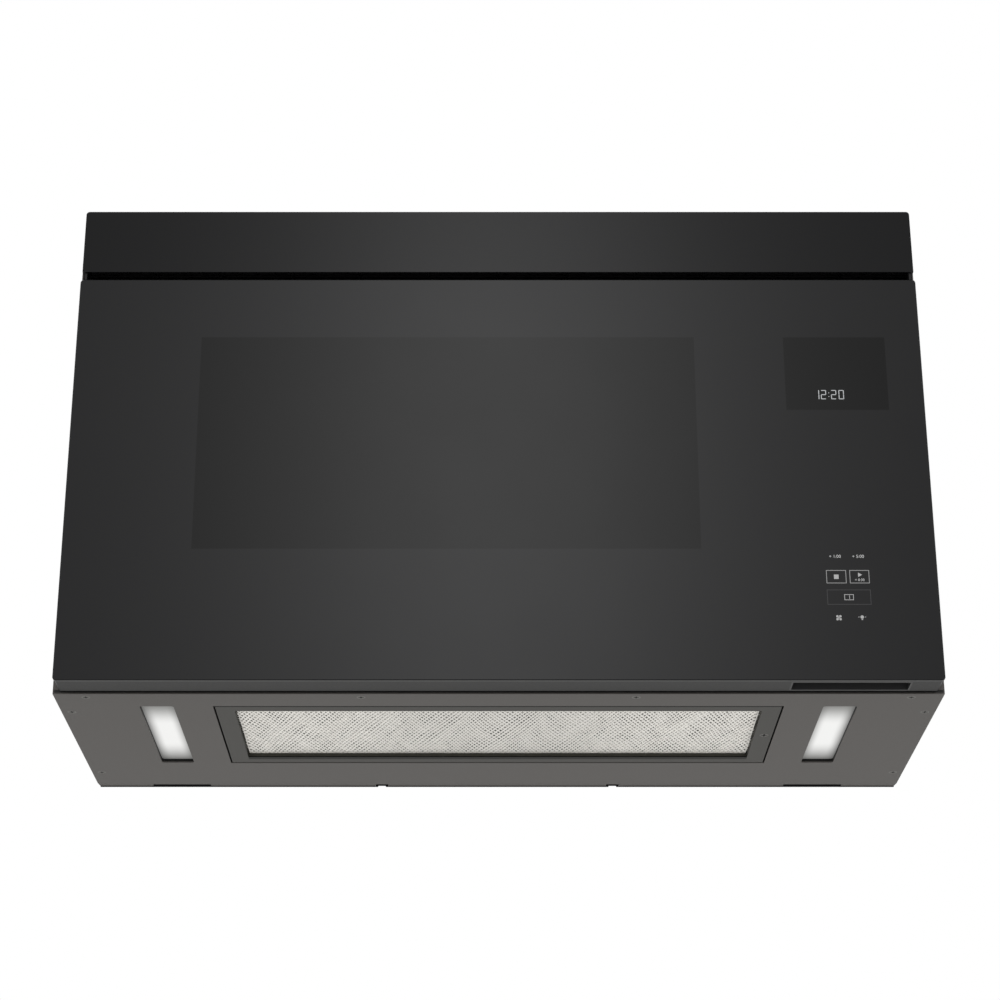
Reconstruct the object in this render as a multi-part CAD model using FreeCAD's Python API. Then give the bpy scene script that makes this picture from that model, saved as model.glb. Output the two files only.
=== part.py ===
import FreeCAD, Part
import math
import os

# Hood microwave for a 30 inch gap between wall cabinets, in millimetres.
# X runs to the right, Y to the back and Z up; the origin is under the middle of the box.

# Overall sizes
case_width = 759.0
case_depth = 293.2
case_height = 444.4
door_thickness = 33.2
door_gap = 2.6

# Sheet metal
case_sheet = 1.0
base_sheet = 1.2
cavity_sheet = 1.0
case_bend_radius = 4.0
case_flange = 16.0

# Door
door_side_gap = 4.9
door_clearance_below = 1.0
door_corner_radius = 3.0
glass_thickness = 4.0
glass_bevel = 0.7
frame_wall = 2.5
frame_web = 2.0
frame_inset = 0.4
window_left_margin = 117.5
window_right_margin = 206.5
window_bottom = 118.3
window_top_margin = 124.5
panel_sheet = 1.5
panel_inset = 3.0
choke_width = 26.0
choke_depth = 16.0
choke_cover_thickness = 2.0
choke_cover_proud = 1.0

# Finger pocket in the bottom edge of the door
pocket_right_margin = 32.7
pocket_width = 99.0
pocket_front = 8.5
pocket_depth = 19.6
pocket_height = 17.0
pocket_wall = 1.5

# Controls behind the glass
display_width = 89.0
display_height = 70.0
display_right_margin = 81.2
display_top_margin = 159.8
board_thickness = 1.6
board_overlap = 4.0
keys_bottom = 46.0
chip_height = 5.0
chip_count = 3

# Vent slot and top trim
vent_slot = 7.6
trim_height = 61.0
trim_side_gap = 6.0
trim_wall = 2.0
trim_corner_radius = 3.0
trim_tab_depth = 16.0
trim_tab_width = 40.0
trim_tab_x = 261.0
grille_height = 8.0
grille_slat = 1.6
grille_slat_count = 4
grille_rib_count = 11
slot_end_wall = 2.0

# Oven cavity
cavity_beside_window = 30.0
cavity_space_above = 102.0
cavity_space_behind = 44.0
cavity_floor_z = 96.0
cavity_flange = 12.0
floor_plate = 5.0
floor_clearance = 0.6

# Rotating antenna under the cavity floor
well_margin = 31.5
well_depth = 17.0
well_flange = 10.0
antenna_gap = 12.0
antenna_sheet = 1.5
antenna_slot_count = 5
hub_radius = 8.0
shaft_radius = 4.0
shaft_hole_radius = 11.0
shaft_clearance = 0.06
stirrer_motor_radius = 24.5
stirrer_motor_height = 17.0
stirrer_bore_depth = 10.0
stirrer_shaft_depth = 8.5
waveguide_width = 90.0
waveguide_height = 26.0

# High voltage parts on their tray
tray_right_margin = 19.5
tray_width = 108.0
tray_foot = 9.0
tray_gap = 2.0
tray_rear_gap = 14.0
magnetron_width = 90.0
magnetron_depth = 80.0
magnetron_height = 78.0
magnetron_plate = 3.0
fin_count = 7
fin_sheet = 1.0
tube_radius = 19.0
antenna_stub_radius = 7.0
antenna_stub_length = 17.0
filter_box_height = 38.0
core_width = 96.0
core_front_gap = 35.5
core_height = 80.0
core_leg = 34.0
core_window = 15.0
core_window_height = 48.0
winding_overhang = 13.0
winding_clearance = 0.5
capacitor_length = 92.0
capacitor_gap = 8.5
capacitor_height = 34.0
terminal_radius = 3.0
terminal_length = 6.0
diode_radius = 4.0
diode_length = 30.0

# Cooling fan
fan_radius = 44.0
fan_clearance = 3.0
fan_hub_radius = 13.0
fan_blade_count = 5
fan_blade_sheet = 2.0
fan_depth = 14.0
fan_plate = 3.0
fan_post = 8.0
fan_motor_size = 40.0
fan_motor_depth = 24.0
fan_motor_gap = 6.0
fan_shaft_depth = 9.6
fan_blade_pitch = 50.0
fan_shaft_radius = 2.5
fan_drop = 25.0

# Hood blower
blower_wheel_radius = 36.0
blower_wheel_width = 56.0
blower_blade_count = 24
blower_blade_depth = 9.0
blower_blade_sheet = 1.2
blower_blade_pitch = 20.0
scroll_gap = 7.0
scroll_wall = 1.5
scroll_side_gap = 6.0
scroll_outlet_length = 60.0
scroll_outlet_height = 40.0
scroll_foot = 36.0
scroll_foot_height = 9.0
blower_motor_radius = 31.0
blower_motor_length = 60.0
blower_shaft_radius = 4.0
bracket_sheet = 2.0
bracket_height = 6.0
saddle_width = 8.0

# Recirculating air
charcoal_side_margin = 199.5
charcoal_thickness = 18.0
charcoal_gap_above = 6.0
charcoal_recess = 2.0
exhaust_width = 254.0
exhaust_depth = 82.6
exhaust_rear_margin = 33.0
exhaust_overlap = 10.0

# Underside: grease filter, lights and screws
filter_side_margin = 134.5
filter_rear = 82.0
filter_front = 36.2
filter_gap = 1.5
filter_sheet = 1.2
filter_lift = 0.3
filter_edge = 8.0
mesh_side = 16.0
mesh_front = 14.3
mesh_rear = 17.0
mesh_recess = 5.0
mesh_thickness = 4.0
mesh_lap = 5.0
rim_height = 12.0
hinge_pin_radius = 1.2
hinge_pin_inset = 1.8
hinge_pin_z = 2.6
filter_screw_inset = 7.1
filter_screw_length = 13.0
lamp_width = 29.5
lamp_front = 35.2
lamp_rear = 82.0
lamp_side_margin = 84.2
lamp_corner_radius = 3.0
lamp_recess = 3.6
lens_thickness = 2.0
lamp_tray_wall = 1.5
lamp_tray_lip = 3.0
lamp_tray_height = 20.0
led_count = 6
led_size = 5.0
led_height = 1.5
screw_head_radius = 4.0
screw_radius = 1.6
screw_length = 9.0
screw_clearance = 0.15
front_screw_y = 9.7
front_screw_margin = 27.0
front_screw_inner_x = 117.5
side_screw_inset = 9.0
side_screw_front_y = 52.2
side_screw_rear = 49.0

# Back panel and wall fixing
back_inset = 1.3
back_corner_cut = 11.0
wall_slot_margin = 79.5
wall_slot_width = 55.0
notch_height = 2.0
wall_slot_depth = 6.0
notch_centre_x = 109.8
notch_width = 12.3
bead_count = 4
bead_width = 14.0
bead_depth = 2.5
bead_margin = 60.0

# Bolts into the cabinet above and the cord opening
bolt_spacing = 381.0
bolt_front_y = 105.0
bolt_hole_radius = 3.4
nut_plate = 40.0
nut_plate_thickness = 4.0
cord_side_margin = 61.5
cord_rear_margin = 44.0
cord_slot_length = 28.0
cord_slot_width = 17.0
bush_wall = 2.0
bush_flange = 4.0
bush_depth = 9.0
bush_clearance = 0.2

# Door hinge
hinge_x_inset = 9.0
hinge_y_inset = 13.0
hinge_lower_z = 40.0
hinge_upper_margin = 117.0
hinge_arm_thickness = 4.0
hinge_arm_half_width = 5.0
hinge_eye_radius = 6.0
hinge_radius = 3.0
hinge_clearance = 0.06
hinge_notch_gap = 1.5
hinge_flange_width = 36.0
hinge_flange_height = 34.0
hinge_flange_sheet = 2.0
hinge_block_height = 34.0
hinge_block_depth = 20.0

# Latch, release lever and interlock switches
latch_margin = 117.5
latch_thickness = 6.0
latch_travel = 6.0
latch_lower_z = 132.0
latch_upper_margin = 147.0
latch_neck = 8.0
latch_barb = 4.5
latch_barb_length = 12.0
latch_barb_gap = 3.0
latch_bar_depth = 11.0
latch_side_gap = 2.5
latch_slot_below = 0.6
latch_slot_above = 1.5
latch_panel_gap = 0.3
bracket_wall = 3.0
bracket_side_gap = 8.0
bracket_depth = 42.0
bracket_above = 26.0
bracket_below = 34.0
switch_length = 26.0
switch_depth = 15.0
switch_width = 10.0
plunger_radius = 1.2
plunger_gap = 0.4
plunger_clearance = 0.05
plunger_travel = 1.2
plunger_bore = 8.0
plunger_height = 5.6
lever_arm = 16.0
lever_pivot_radius = 2.0
lever_boss_radius = 4.5
lever_width = 6.0
lever_sheet = 4.0
lever_tail = 15.0
lever_gap = 0.5
coil_radius = 6.0
coil_pole = 2.0
coil_air_gap = 6.5

# Electronics, cavity lamp and cut-outs
power_board_depth = 150.0
power_board_height = 130.0
power_board_front = 22.0
power_board_z = 192.0
standoff_length = 5.0
standoff_radius = 3.0
relay_size = 16.0
relay_length = 22.0
relay_margin = 20.0
relay_pitch = 24.0
relay_count = 3
supply_size = 32.0
supply_height = 26.0
cavity_lamp_size = 30.0
cavity_lamp_depth = 34.0
cavity_lamp_socket = 13.5
bulb_radius = 9.0
cavity_lamp_margin = 143.0
cutout_radius = 8.0
cutout_height = 9.0
cutout_x = 165.0
cutout_y = 30.0

# Places worked out from the sizes above
depth = case_depth + door_gap + door_thickness
rear_y = depth / 2
front_y = -depth / 2
case_front = rear_y - case_depth
door_back = case_front - door_gap
glass_back = front_y + glass_thickness
half_width = case_width / 2
inner_half = half_width - case_sheet
plate_back = case_front + case_sheet
back_inner = rear_y - case_sheet
case_inner_top = case_height - case_sheet
door_half = half_width - door_side_gap
trim_half = half_width - trim_side_gap
trim_bottom = case_height - trim_height
door_top = trim_bottom - vent_slot
window_left = -half_width + window_left_margin
window_right = half_width - window_right_margin
window_top = case_height - window_top_margin
pocket_right = half_width - pocket_right_margin
pocket_left = pocket_right - pocket_width
display_centre_x = half_width - display_right_margin
display_centre_z = case_height - display_top_margin
window_centre_x = (window_left + window_right) / 2
cavity_left = window_left - cavity_beside_window
cavity_right = window_right + cavity_beside_window
cavity_top = case_height - cavity_space_above
cavity_roof = cavity_top + cavity_sheet
cavity_back = rear_y - cavity_space_behind + case_sheet
cavity_centre_y = (plate_back + cavity_back) / 2
well_radius = (cavity_back - plate_back) / 2 - well_margin
antenna_radius = well_radius - antenna_gap
front_plate_top = door_top - frame_wall
web_back = glass_back + frame_web
panel_front = door_back - panel_sheet
choke_left = cavity_left - choke_width
choke_right = cavity_right + choke_width
choke_bottom = cavity_floor_z - choke_width
choke_top = cavity_top + choke_width
well_bottom = cavity_floor_z - cavity_sheet - well_depth
waveguide_bottom = well_bottom - waveguide_height
tray_right = half_width - tray_right_margin
tray_left = tray_right - tray_width
tray_centre_x = tray_left + tray_width / 2
hinge_x = -door_half + hinge_x_inset
hinge_y = front_y + hinge_y_inset
hinge_upper_z = case_height - hinge_upper_margin
filter_y = case_front + filter_front
filter_width = case_width - 2 * filter_side_margin
filter_depth = case_depth - filter_front - filter_rear
mesh_width = filter_width - 2 * mesh_side
mesh_depth = filter_depth - mesh_front - mesh_rear
mesh_y = filter_y + mesh_front
lamp_y = case_front + lamp_front
lamp_depth = case_depth - lamp_front - lamp_rear
lamp_centre_x = half_width - lamp_side_margin
charcoal_width = case_width - 2 * charcoal_side_margin
blower_z = cavity_roof + bracket_height + scroll_wall + scroll_gap + blower_wheel_radius
scroll_radius = blower_wheel_radius + scroll_gap + scroll_wall
blower_y = back_inner - scroll_radius - scroll_side_gap
hook_tip_y = plate_back + latch_barb_gap + latch_barb_length
latch_x = half_width - latch_margin
latch_upper_z = case_height - latch_upper_margin
cord_x = half_width - cord_side_margin
wall_slot_centre_x = half_width - wall_slot_margin
cavity_lamp_z = case_height - cavity_lamp_margin


def block(x, y, z):
    """Straight block between two values on each axis."""
    return Part.makeBox(x[1] - x[0], y[1] - y[0], z[1] - z[0], FreeCAD.Vector(x[0], y[0], z[0]))


def rod(axis, centre, radius, span):
    """Round bar along an axis; centre holds the other two coordinates in order."""
    if axis == "x":
        base, direction = FreeCAD.Vector(span[0], centre[0], centre[1]), FreeCAD.Vector(1, 0, 0)
    elif axis == "y":
        base, direction = FreeCAD.Vector(centre[0], span[0], centre[1]), FreeCAD.Vector(0, 1, 0)
    else:
        base, direction = FreeCAD.Vector(centre[0], centre[1], span[0]), FreeCAD.Vector(0, 0, 1)
    return Part.makeCylinder(radius, span[1] - span[0], base, direction)


def prism(points, axis, span):
    """Closed outline, given on the two other axes, drawn out along one axis."""
    place = {
        "x": lambda a, b: FreeCAD.Vector(span[0], a, b),
        "y": lambda a, b: FreeCAD.Vector(a, span[0], b),
        "z": lambda a, b: FreeCAD.Vector(a, b, span[0]),
    }[axis]
    length = span[1] - span[0]
    travel = {"x": (length, 0, 0), "y": (0, length, 0), "z": (0, 0, length)}[axis]
    corners = [place(a, b) for a, b in points]
    face = Part.Face(Part.makePolygon(corners + corners[:1]))
    return face.extrude(FreeCAD.Vector(*travel))


def revolve(points, centre):
    """Outline of radius and height turned about a vertical axis."""
    corners = [FreeCAD.Vector(centre[0] + r, centre[1], z) for r, z in points]
    face = Part.Face(Part.makePolygon(corners + corners[:1]))
    return face.revolve(FreeCAD.Vector(centre[0], centre[1], 0), FreeCAD.Vector(0, 0, 1), 360)


def rounded(shape, radius, axis, keep=lambda middle: True):
    """Fillet the straight edges that run along an axis."""
    way = {"x": FreeCAD.Vector(1, 0, 0), "y": FreeCAD.Vector(0, 1, 0), "z": FreeCAD.Vector(0, 0, 1)}[axis]
    edges = []
    for edge in shape.Edges:
        if len(edge.Vertexes) != 2:
            continue
        run = edge.Vertexes[1].Point - edge.Vertexes[0].Point
        along = abs(run.dot(way)) > 0.999 * edge.Length
        if along and keep((edge.Vertexes[0].Point + edge.Vertexes[1].Point) * 0.5):
            edges.append(edge)
    return shape.makeFillet(radius, edges)


def joined(shapes):
    """One solid from pieces that are formed together."""
    return shapes[0].multiFuse(shapes[1:]).removeSplitter()


def group(shapes):
    """Separate solids that share one node."""
    return Part.makeCompound(shapes)


def grow(span, amount):
    """Widen a pair of values by the same amount at both ends."""
    return (span[0] - amount, span[1] + amount)


def base_screw_places():
    """Centres of the eight screws in the underside."""
    side_x = half_width - side_screw_inset
    places = []
    for side in (-1, 1):
        places.append((side * (half_width - front_screw_margin), case_front + front_screw_y))
        places.append((side * front_screw_inner_x, case_front + front_screw_y))
        places.append((side * side_x, case_front + side_screw_front_y))
        places.append((side * side_x, rear_y - side_screw_rear))
    return places


def screw(x, y, z, sheet, length):
    """Countersunk screw, head flush with the underside of its sheet."""
    outline = [
        (0, z),
        (screw_head_radius, z),
        (screw_radius, z + sheet),
        (screw_radius, z + length),
        (0, z + length),
    ]
    return revolve(outline, (x, y))


def screw_hole(x, y, z, sheet):
    """Countersunk hole that takes such a screw with a little room."""
    outline = [
        (0, z),
        (screw_head_radius + screw_clearance, z),
        (screw_radius + screw_clearance, z + sheet),
        (screw_radius + screw_clearance, z + screw_length),
        (0, z + screw_length),
    ]
    return revolve(outline, (x, y))


def rounded_slot(x, y, length, width, z):
    """Upright slot with round ends, its long way along X."""
    straight = (length - width) / 2
    body = block((x - straight, x + straight), (y - width / 2, y + width / 2), z)
    ends = [rod("z", (x + side * straight, y), width / 2, z) for side in (-1, 1)]
    return joined([body] + ends)


bolt_places = [(side * bolt_spacing / 2, case_front + bolt_front_y) for side in (-1, 1)]
cord_y = back_inner - cord_rear_margin
exhaust_y = (back_inner - exhaust_rear_margin - exhaust_depth, back_inner - exhaust_rear_margin)
exhaust_x = (-exhaust_width / 2, exhaust_width / 2)


def outer_case():
    """Wrapped sheet: top, two sides and turned-in feet for the base screws."""
    span_y = (case_front, back_inner)
    outer = block((-half_width, half_width), span_y, (base_sheet, case_height))
    outer = rounded(outer, case_bend_radius, "y", lambda m: m.z > case_height - case_sheet)
    floor = base_sheet + case_sheet
    inner = block((-inner_half, inner_half), span_y, (floor, case_inner_top))
    inner = rounded(inner, case_bend_radius - case_sheet, "y", lambda m: m.z > floor + case_sheet)
    slot_half = inner_half - case_flange
    shell = outer.cut(inner).cut(block((-slot_half, slot_half), span_y, (base_sheet, floor)))
    shell = shell.cut(block((-inner_half, inner_half), (case_front, plate_back), (base_sheet, floor)))
    top = (case_inner_top, case_height)
    holes = [rod("z", place, bolt_hole_radius, top) for place in bolt_places]
    holes.append(block(exhaust_x, exhaust_y, top))
    holes.append(rounded_slot(cord_x, cord_y, cord_slot_length, cord_slot_width, top))
    holes += [screw_hole(x, y, 0, base_sheet) for x, y in base_screw_places()]
    return shell.cut(holes)


def back_panel():
    """Rear sheet with pressed beads and two open notches in its lower edge."""
    half = half_width - back_inset
    panel = block((-half, half), (back_inner, rear_y), (0, case_height))
    bead_x = (-half + bead_margin, cavity_right)
    pitch = (case_height - 2 * bead_margin) / (bead_count - 1)
    for row in range(bead_count):
        middle = bead_margin + row * pitch
        bead_z = (middle - bead_width / 2, middle + bead_width / 2)
        raised_y = (back_inner - bead_depth, back_inner)
        raised = block(grow(bead_x, case_sheet), raised_y, grow(bead_z, case_sheet))
        hollow = block(bead_x, (rear_y - bead_depth, rear_y), bead_z)
        panel = joined([panel, raised]).cut(hollow)
    return panel.cut(edge_cuts(notch_centre_x, notch_width, (back_inner, rear_y), (0, notch_height)))


def edge_cuts(centre, width, y, z):
    """A pair of cuts at the lower rear edge, one on each side of the middle."""
    cuts = []
    for side in (-1, 1):
        cuts.append(block((side * centre - width / 2, side * centre + width / 2), y, z))
    return cuts


def base_plate():
    """Bottom sheet with the filter opening, the two light openings and its rims."""
    half = half_width
    outline = [
        (-half, case_front),
        (half, case_front),
        (half, back_inner - back_corner_cut),
        (half - back_inset, back_inner),
        (-half + back_inset, back_inner),
        (-half, back_inner - back_corner_cut),
    ]
    sheet = prism(outline, "z", (0, base_sheet))
    open_x = grow((-filter_width / 2, filter_width / 2), filter_gap)
    open_y = grow((filter_y, filter_y + filter_depth), filter_gap)
    rim = block(grow(open_x, base_sheet), grow(open_y, base_sheet), (0, rim_height))
    tab = filter_screw_tab()
    plate = joined([sheet, rim]).cut(block(open_x, open_y, (0, rim_height)))
    plate = joined([plate, tab])
    cuts = []
    for side in (-1, 1):
        cuts.append(lamp_mouth(side, (0, base_sheet)))
    rear_cut_y = (back_inner - wall_slot_depth, back_inner)
    cuts += edge_cuts(wall_slot_centre_x, wall_slot_width, rear_cut_y, (0, base_sheet))
    cuts += edge_cuts(notch_centre_x, notch_width, rear_cut_y, (0, base_sheet))
    cuts += [screw_hole(x, y, 0, base_sheet) for x, y in base_screw_places()]
    pin_y = (open_y[0] - base_sheet, open_y[1] + base_sheet)
    pin_x = -filter_width / 2 + hinge_pin_inset
    cuts.append(rod("y", (pin_x, hinge_pin_z), hinge_pin_radius + hinge_clearance, pin_y))
    return plate.cut(cuts)


def filter_screw_place():
    """Centre of the one screw that holds the filter frame shut."""
    return (filter_width / 2 - filter_screw_inset, filter_y + filter_depth / 2)


def filter_screw_tab():
    """Lug on the filter opening's right rim that takes the filter screw."""
    x, y = filter_screw_place()
    reach = (x - screw_head_radius, filter_width / 2 + filter_gap + base_sheet)
    lug_z = (rim_height - base_sheet, rim_height)
    lug = block(reach, (y - 2 * screw_head_radius, y + 2 * screw_head_radius), lug_z)
    return lug.cut(rod("z", (x, y), screw_radius + 3 * screw_clearance, lug_z))


def hook_heights():
    """Lower edge of each latch hook's neck."""
    return (latch_lower_z, latch_upper_z)


def hook_slot(z, y):
    """Slot that a latch hook passes through, with room for its lift."""
    reach = latch_thickness / 2 + latch_side_gap
    return block(
        (latch_x - reach, latch_x + reach),
        y,
        (z - latch_slot_below, z + latch_neck + latch_travel + latch_slot_above),
    )


def hinge_levels():
    """Underside of the lower and of the upper hinge arm."""
    return (hinge_lower_z, hinge_upper_z)


def hinge_gap(z):
    """Height range left free around a hinge arm."""
    return (z - hinge_notch_gap, z + hinge_arm_thickness + hinge_notch_gap)


def front_plate():
    """Front sheet of the oven with its opening, hook slots and hinge slots."""
    plate = block((-inner_half, inner_half), (case_front, plate_back), (base_sheet, front_plate_top))
    flange_half = inner_half - case_flange - case_sheet
    flange_y = (plate_back, plate_back + case_flange)
    lower = block((-flange_half, flange_half), flange_y, (base_sheet, base_sheet + case_sheet))
    upper = block((-flange_half, flange_half), flange_y, (front_plate_top - case_sheet, front_plate_top))
    plate = joined([plate, lower, upper])
    through = (case_front, plate_back)
    cuts = [block((cavity_left, cavity_right), through, (cavity_floor_z, cavity_top))]
    cuts += [hook_slot(z, through) for z in hook_heights()]
    arm_x = grow((hinge_x - hinge_arm_half_width, hinge_x + hinge_arm_half_width), hinge_notch_gap)
    cuts += [block(arm_x, through, hinge_gap(z)) for z in hinge_levels()]
    cuts += [screw_hole(x, y, 0, base_sheet) for x, y in base_screw_places()]
    return plate.cut(cuts)


def oven_cavity():
    """Five-walled oven box with a flange behind the front sheet."""
    wall_x = grow((cavity_left, cavity_right), cavity_sheet)
    wall_z = grow((cavity_floor_z, cavity_top), cavity_sheet)
    outer = block(wall_x, (plate_back, cavity_back + cavity_sheet), wall_z)
    flange_y = (plate_back, plate_back + cavity_sheet)
    flange = block(grow(wall_x, cavity_flange), flange_y, grow(wall_z, cavity_flange))
    inner = block((cavity_left, cavity_right), (plate_back, cavity_back), (cavity_floor_z, cavity_top))
    box = joined([outer, flange]).cut(inner)
    well = rod("z", (window_centre_x, cavity_centre_y), well_radius, (wall_z[0], cavity_floor_z))
    return box.cut(well)


def ceramic_floor():
    """Flat glass ceramic plate that closes the antenna well."""
    span_x = grow((cavity_left, cavity_right), -floor_clearance)
    span_y = grow((plate_back, cavity_back), -floor_clearance)
    return block(span_x, span_y, (cavity_floor_z, cavity_floor_z + floor_plate))


def antenna_well():
    """Turned dish under the cavity floor in which the antenna runs."""
    under = cavity_floor_z - cavity_sheet
    outline = [
        (shaft_hole_radius, well_bottom),
        (well_radius + cavity_sheet, well_bottom),
        (well_radius + cavity_sheet, under - cavity_sheet),
        (well_radius + well_flange, under - cavity_sheet),
        (well_radius + well_flange, under),
        (well_radius, under),
        (well_radius, well_bottom + cavity_sheet),
        (shaft_hole_radius, well_bottom + cavity_sheet),
    ]
    return revolve(outline, (window_centre_x, cavity_centre_y))


def antenna_rotor():
    """Slotted disc on a hub and shaft that spreads the microwaves."""
    centre = (window_centre_x, cavity_centre_y)
    disc_z = well_bottom + well_depth / 2
    disc = rod("z", centre, antenna_radius, (disc_z, disc_z + antenna_sheet))
    hub = rod("z", centre, hub_radius, (disc_z, disc_z + 4 * antenna_sheet))
    foot = waveguide_bottom - stirrer_shaft_depth
    shaft = rod("z", centre, shaft_radius, (foot, disc_z))
    rotor = joined([disc, hub, shaft])
    slot_x = (centre[0] + 3 * hub_radius, centre[0] + antenna_radius - hub_radius)
    slot = block(slot_x, (centre[1] - hub_radius, centre[1] + hub_radius), (disc_z, disc_z + antenna_sheet))
    for turn in range(antenna_slot_count):
        cutter = slot.copy()
        cutter.rotate(
            FreeCAD.Vector(centre[0], centre[1], 0), FreeCAD.Vector(0, 0, 1), 360 * turn / antenna_slot_count
        )
        rotor = rotor.cut(cutter)
    return rotor


def stirrer_motor():
    """Flat synchronous motor that hangs under the waveguide and turns the antenna."""
    centre = (window_centre_x, cavity_centre_y)
    body = rod("z", centre, stirrer_motor_radius, (waveguide_bottom - stirrer_motor_height, waveguide_bottom))
    ears = block(
        (centre[0] - 1.5 * stirrer_motor_radius, centre[0] + 1.5 * stirrer_motor_radius),
        (centre[1] - shaft_radius * 2, centre[1] + shaft_radius * 2),
        (waveguide_bottom - cavity_sheet, waveguide_bottom),
    )
    bore_z = (waveguide_bottom - stirrer_bore_depth, waveguide_bottom)
    return joined([body, ears]).cut(rod("z", centre, shaft_radius + shaft_clearance, bore_z))


def waveguide():
    """Rectangular tube from the magnetron to the antenna shaft."""
    span_x = (window_centre_x - well_radius, tray_right - cavity_sheet)
    span_z = (waveguide_bottom, well_bottom)
    tube = block(span_x, waveguide_y, span_z)
    inner = [grow(span, -cavity_sheet) for span in (span_x, waveguide_y, span_z)]
    tube = tube.cut(block(*inner))
    centre = (window_centre_x, cavity_centre_y)
    port = rod("z", (tray_centre_x, cavity_centre_y), 2 * antenna_stub_radius, span_z)
    port = port.common(block(span_x, waveguide_y, (well_bottom - cavity_sheet, well_bottom)))
    return tube.cut([rod("z", centre, shaft_hole_radius, span_z), port])


def magnetron():
    """Magnetron: yoke, finned tube, antenna stub and filter box."""
    floor = well_bottom
    x = (tray_centre_x - magnetron_width / 2, tray_centre_x + magnetron_width / 2)
    y = (cavity_centre_y - magnetron_depth / 2, cavity_centre_y + magnetron_depth / 2)
    axis = (tray_centre_x, cavity_centre_y)
    top = floor + magnetron_height
    yoke = block(x, y, (floor, top))
    yoke = yoke.cut(block(grow(x, -magnetron_plate), y, grow((floor, top), -magnetron_plate)))
    yoke = yoke.cut(rod("z", axis, tube_radius, (floor, top)))
    tube = rod("z", axis, tube_radius, (floor, top))
    stub = rod("z", axis, antenna_stub_radius, (floor - antenna_stub_length, floor))
    fins = []
    pitch = (magnetron_height - 2 * magnetron_plate) / (fin_count + 1)
    for row in range(fin_count):
        low = floor + magnetron_plate + (row + 1) * pitch
        fins.append(block(grow(x, -magnetron_plate), y, (low, low + fin_sheet)))
    core = joined([tube, stub] + fins)
    box_x = grow(x, -magnetron_width / 8)
    box_y = grow(y, -magnetron_depth / 8)
    box = rounded(block(box_x, box_y, (top, top + filter_box_height)), magnetron_plate, "z")
    return group([yoke, core, box])


tray_top = waveguide_bottom
tray_front = plate_back + case_flange + tray_gap
tray_back = back_inner - tray_rear_gap
waveguide_y = (cavity_centre_y - waveguide_width / 2, cavity_centre_y + waveguide_width / 2)
core_y = (waveguide_y[1] + core_front_gap, tray_back - winding_overhang - tray_gap)


def component_tray():
    """Raised tray that carries the heavy parts over the right-hand light."""
    span_y = (tray_front, tray_back)
    outline = [
        (tray_left - tray_foot, base_sheet),
        (tray_left + cavity_sheet, base_sheet),
        (tray_left + cavity_sheet, tray_top - cavity_sheet),
        (tray_right - cavity_sheet, tray_top - cavity_sheet),
        (tray_right - cavity_sheet, base_sheet),
        (tray_right, base_sheet),
        (tray_right, tray_top),
        (tray_left, tray_top),
        (tray_left, base_sheet + cavity_sheet),
        (tray_left - tray_foot, base_sheet + cavity_sheet),
    ]
    tray = prism(outline, "y", span_y)
    rim = filter_width / 2 + filter_gap + base_sheet
    clear = block((tray_left - tray_foot, rim + base_sheet), span_y, (base_sheet, base_sheet + cavity_sheet))
    return tray.cut(clear)


def transformer_core():
    """Laminated core with two windows, on a foot plate."""
    x = (tray_centre_x - core_width / 2, tray_centre_x + core_width / 2)
    z = (tray_top, tray_top + core_height)
    core = block(x, core_y, z)
    yoke = (core_height - core_window_height) / 2
    window_z = (z[0] + yoke, z[1] - yoke)
    for side in (-1, 1):
        near = tray_centre_x + side * core_leg / 2
        far = near + side * core_window
        core = core.cut(block((min(near, far), max(near, far)), core_y, window_z))
    return core


def transformer_windings():
    """Two coils round the middle leg, with rounded turns outside the core."""
    yoke = (core_height - core_window_height) / 2
    window_z = (tray_top + yoke, tray_top + core_height - yoke)
    middle = (window_z[0] + window_z[1]) / 2
    inner_x = core_leg / 2 + winding_clearance
    outer_x = core_leg / 2 + core_window - winding_clearance
    coils = []
    for z in ((window_z[0] + winding_clearance, middle - winding_clearance),
              (middle + winding_clearance, window_z[1] - winding_clearance)):
        outer = block((tray_centre_x - outer_x, tray_centre_x + outer_x), grow(core_y, winding_overhang), z)
        outer = rounded(outer, winding_overhang - winding_clearance, "z")
        inner = block((tray_centre_x - inner_x, tray_centre_x + inner_x), grow(core_y, winding_clearance), z)
        coils.append(outer.cut(inner))
    return group(coils)


def hv_capacitor():
    """Oval capacitor can lying on the tray, with two terminals."""
    x = (tray_centre_x - capacitor_length / 2, tray_centre_x + capacitor_length / 2)
    y = (tray_front + tray_gap, waveguide_y[0] - capacitor_gap)
    z = (tray_top, tray_top + capacitor_height)
    bend = min(y[1] - y[0], capacitor_height) / 2 - cavity_sheet
    can = rounded(block(x, y, z), bend, "x")
    middle_z = tray_top + capacitor_height / 2
    posts = []
    for side in (-1, 1):
        post_y = (y[0] + y[1]) / 2 + side * (y[1] - y[0]) / 5
        posts.append(rod("x", (post_y, middle_z), terminal_radius, (x[0] - terminal_length, x[0])))
    return joined([can] + posts)


def hv_diode():
    """High voltage diode lying on the tray behind the waveguide."""
    y = waveguide_y[1] + 2 * diode_radius
    x = (tray_centre_x - diode_length / 2, tray_centre_x + diode_length / 2)
    return rod("x", (y, tray_top + diode_radius), diode_radius, x)


fan_x = tray_centre_x
fan_centre_z = (tray_top + core_height + case_inner_top) / 2 - fan_drop
fan_plate_back = back_inner - fan_motor_depth - fan_motor_gap
fan_front = fan_plate_back - fan_plate


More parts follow.
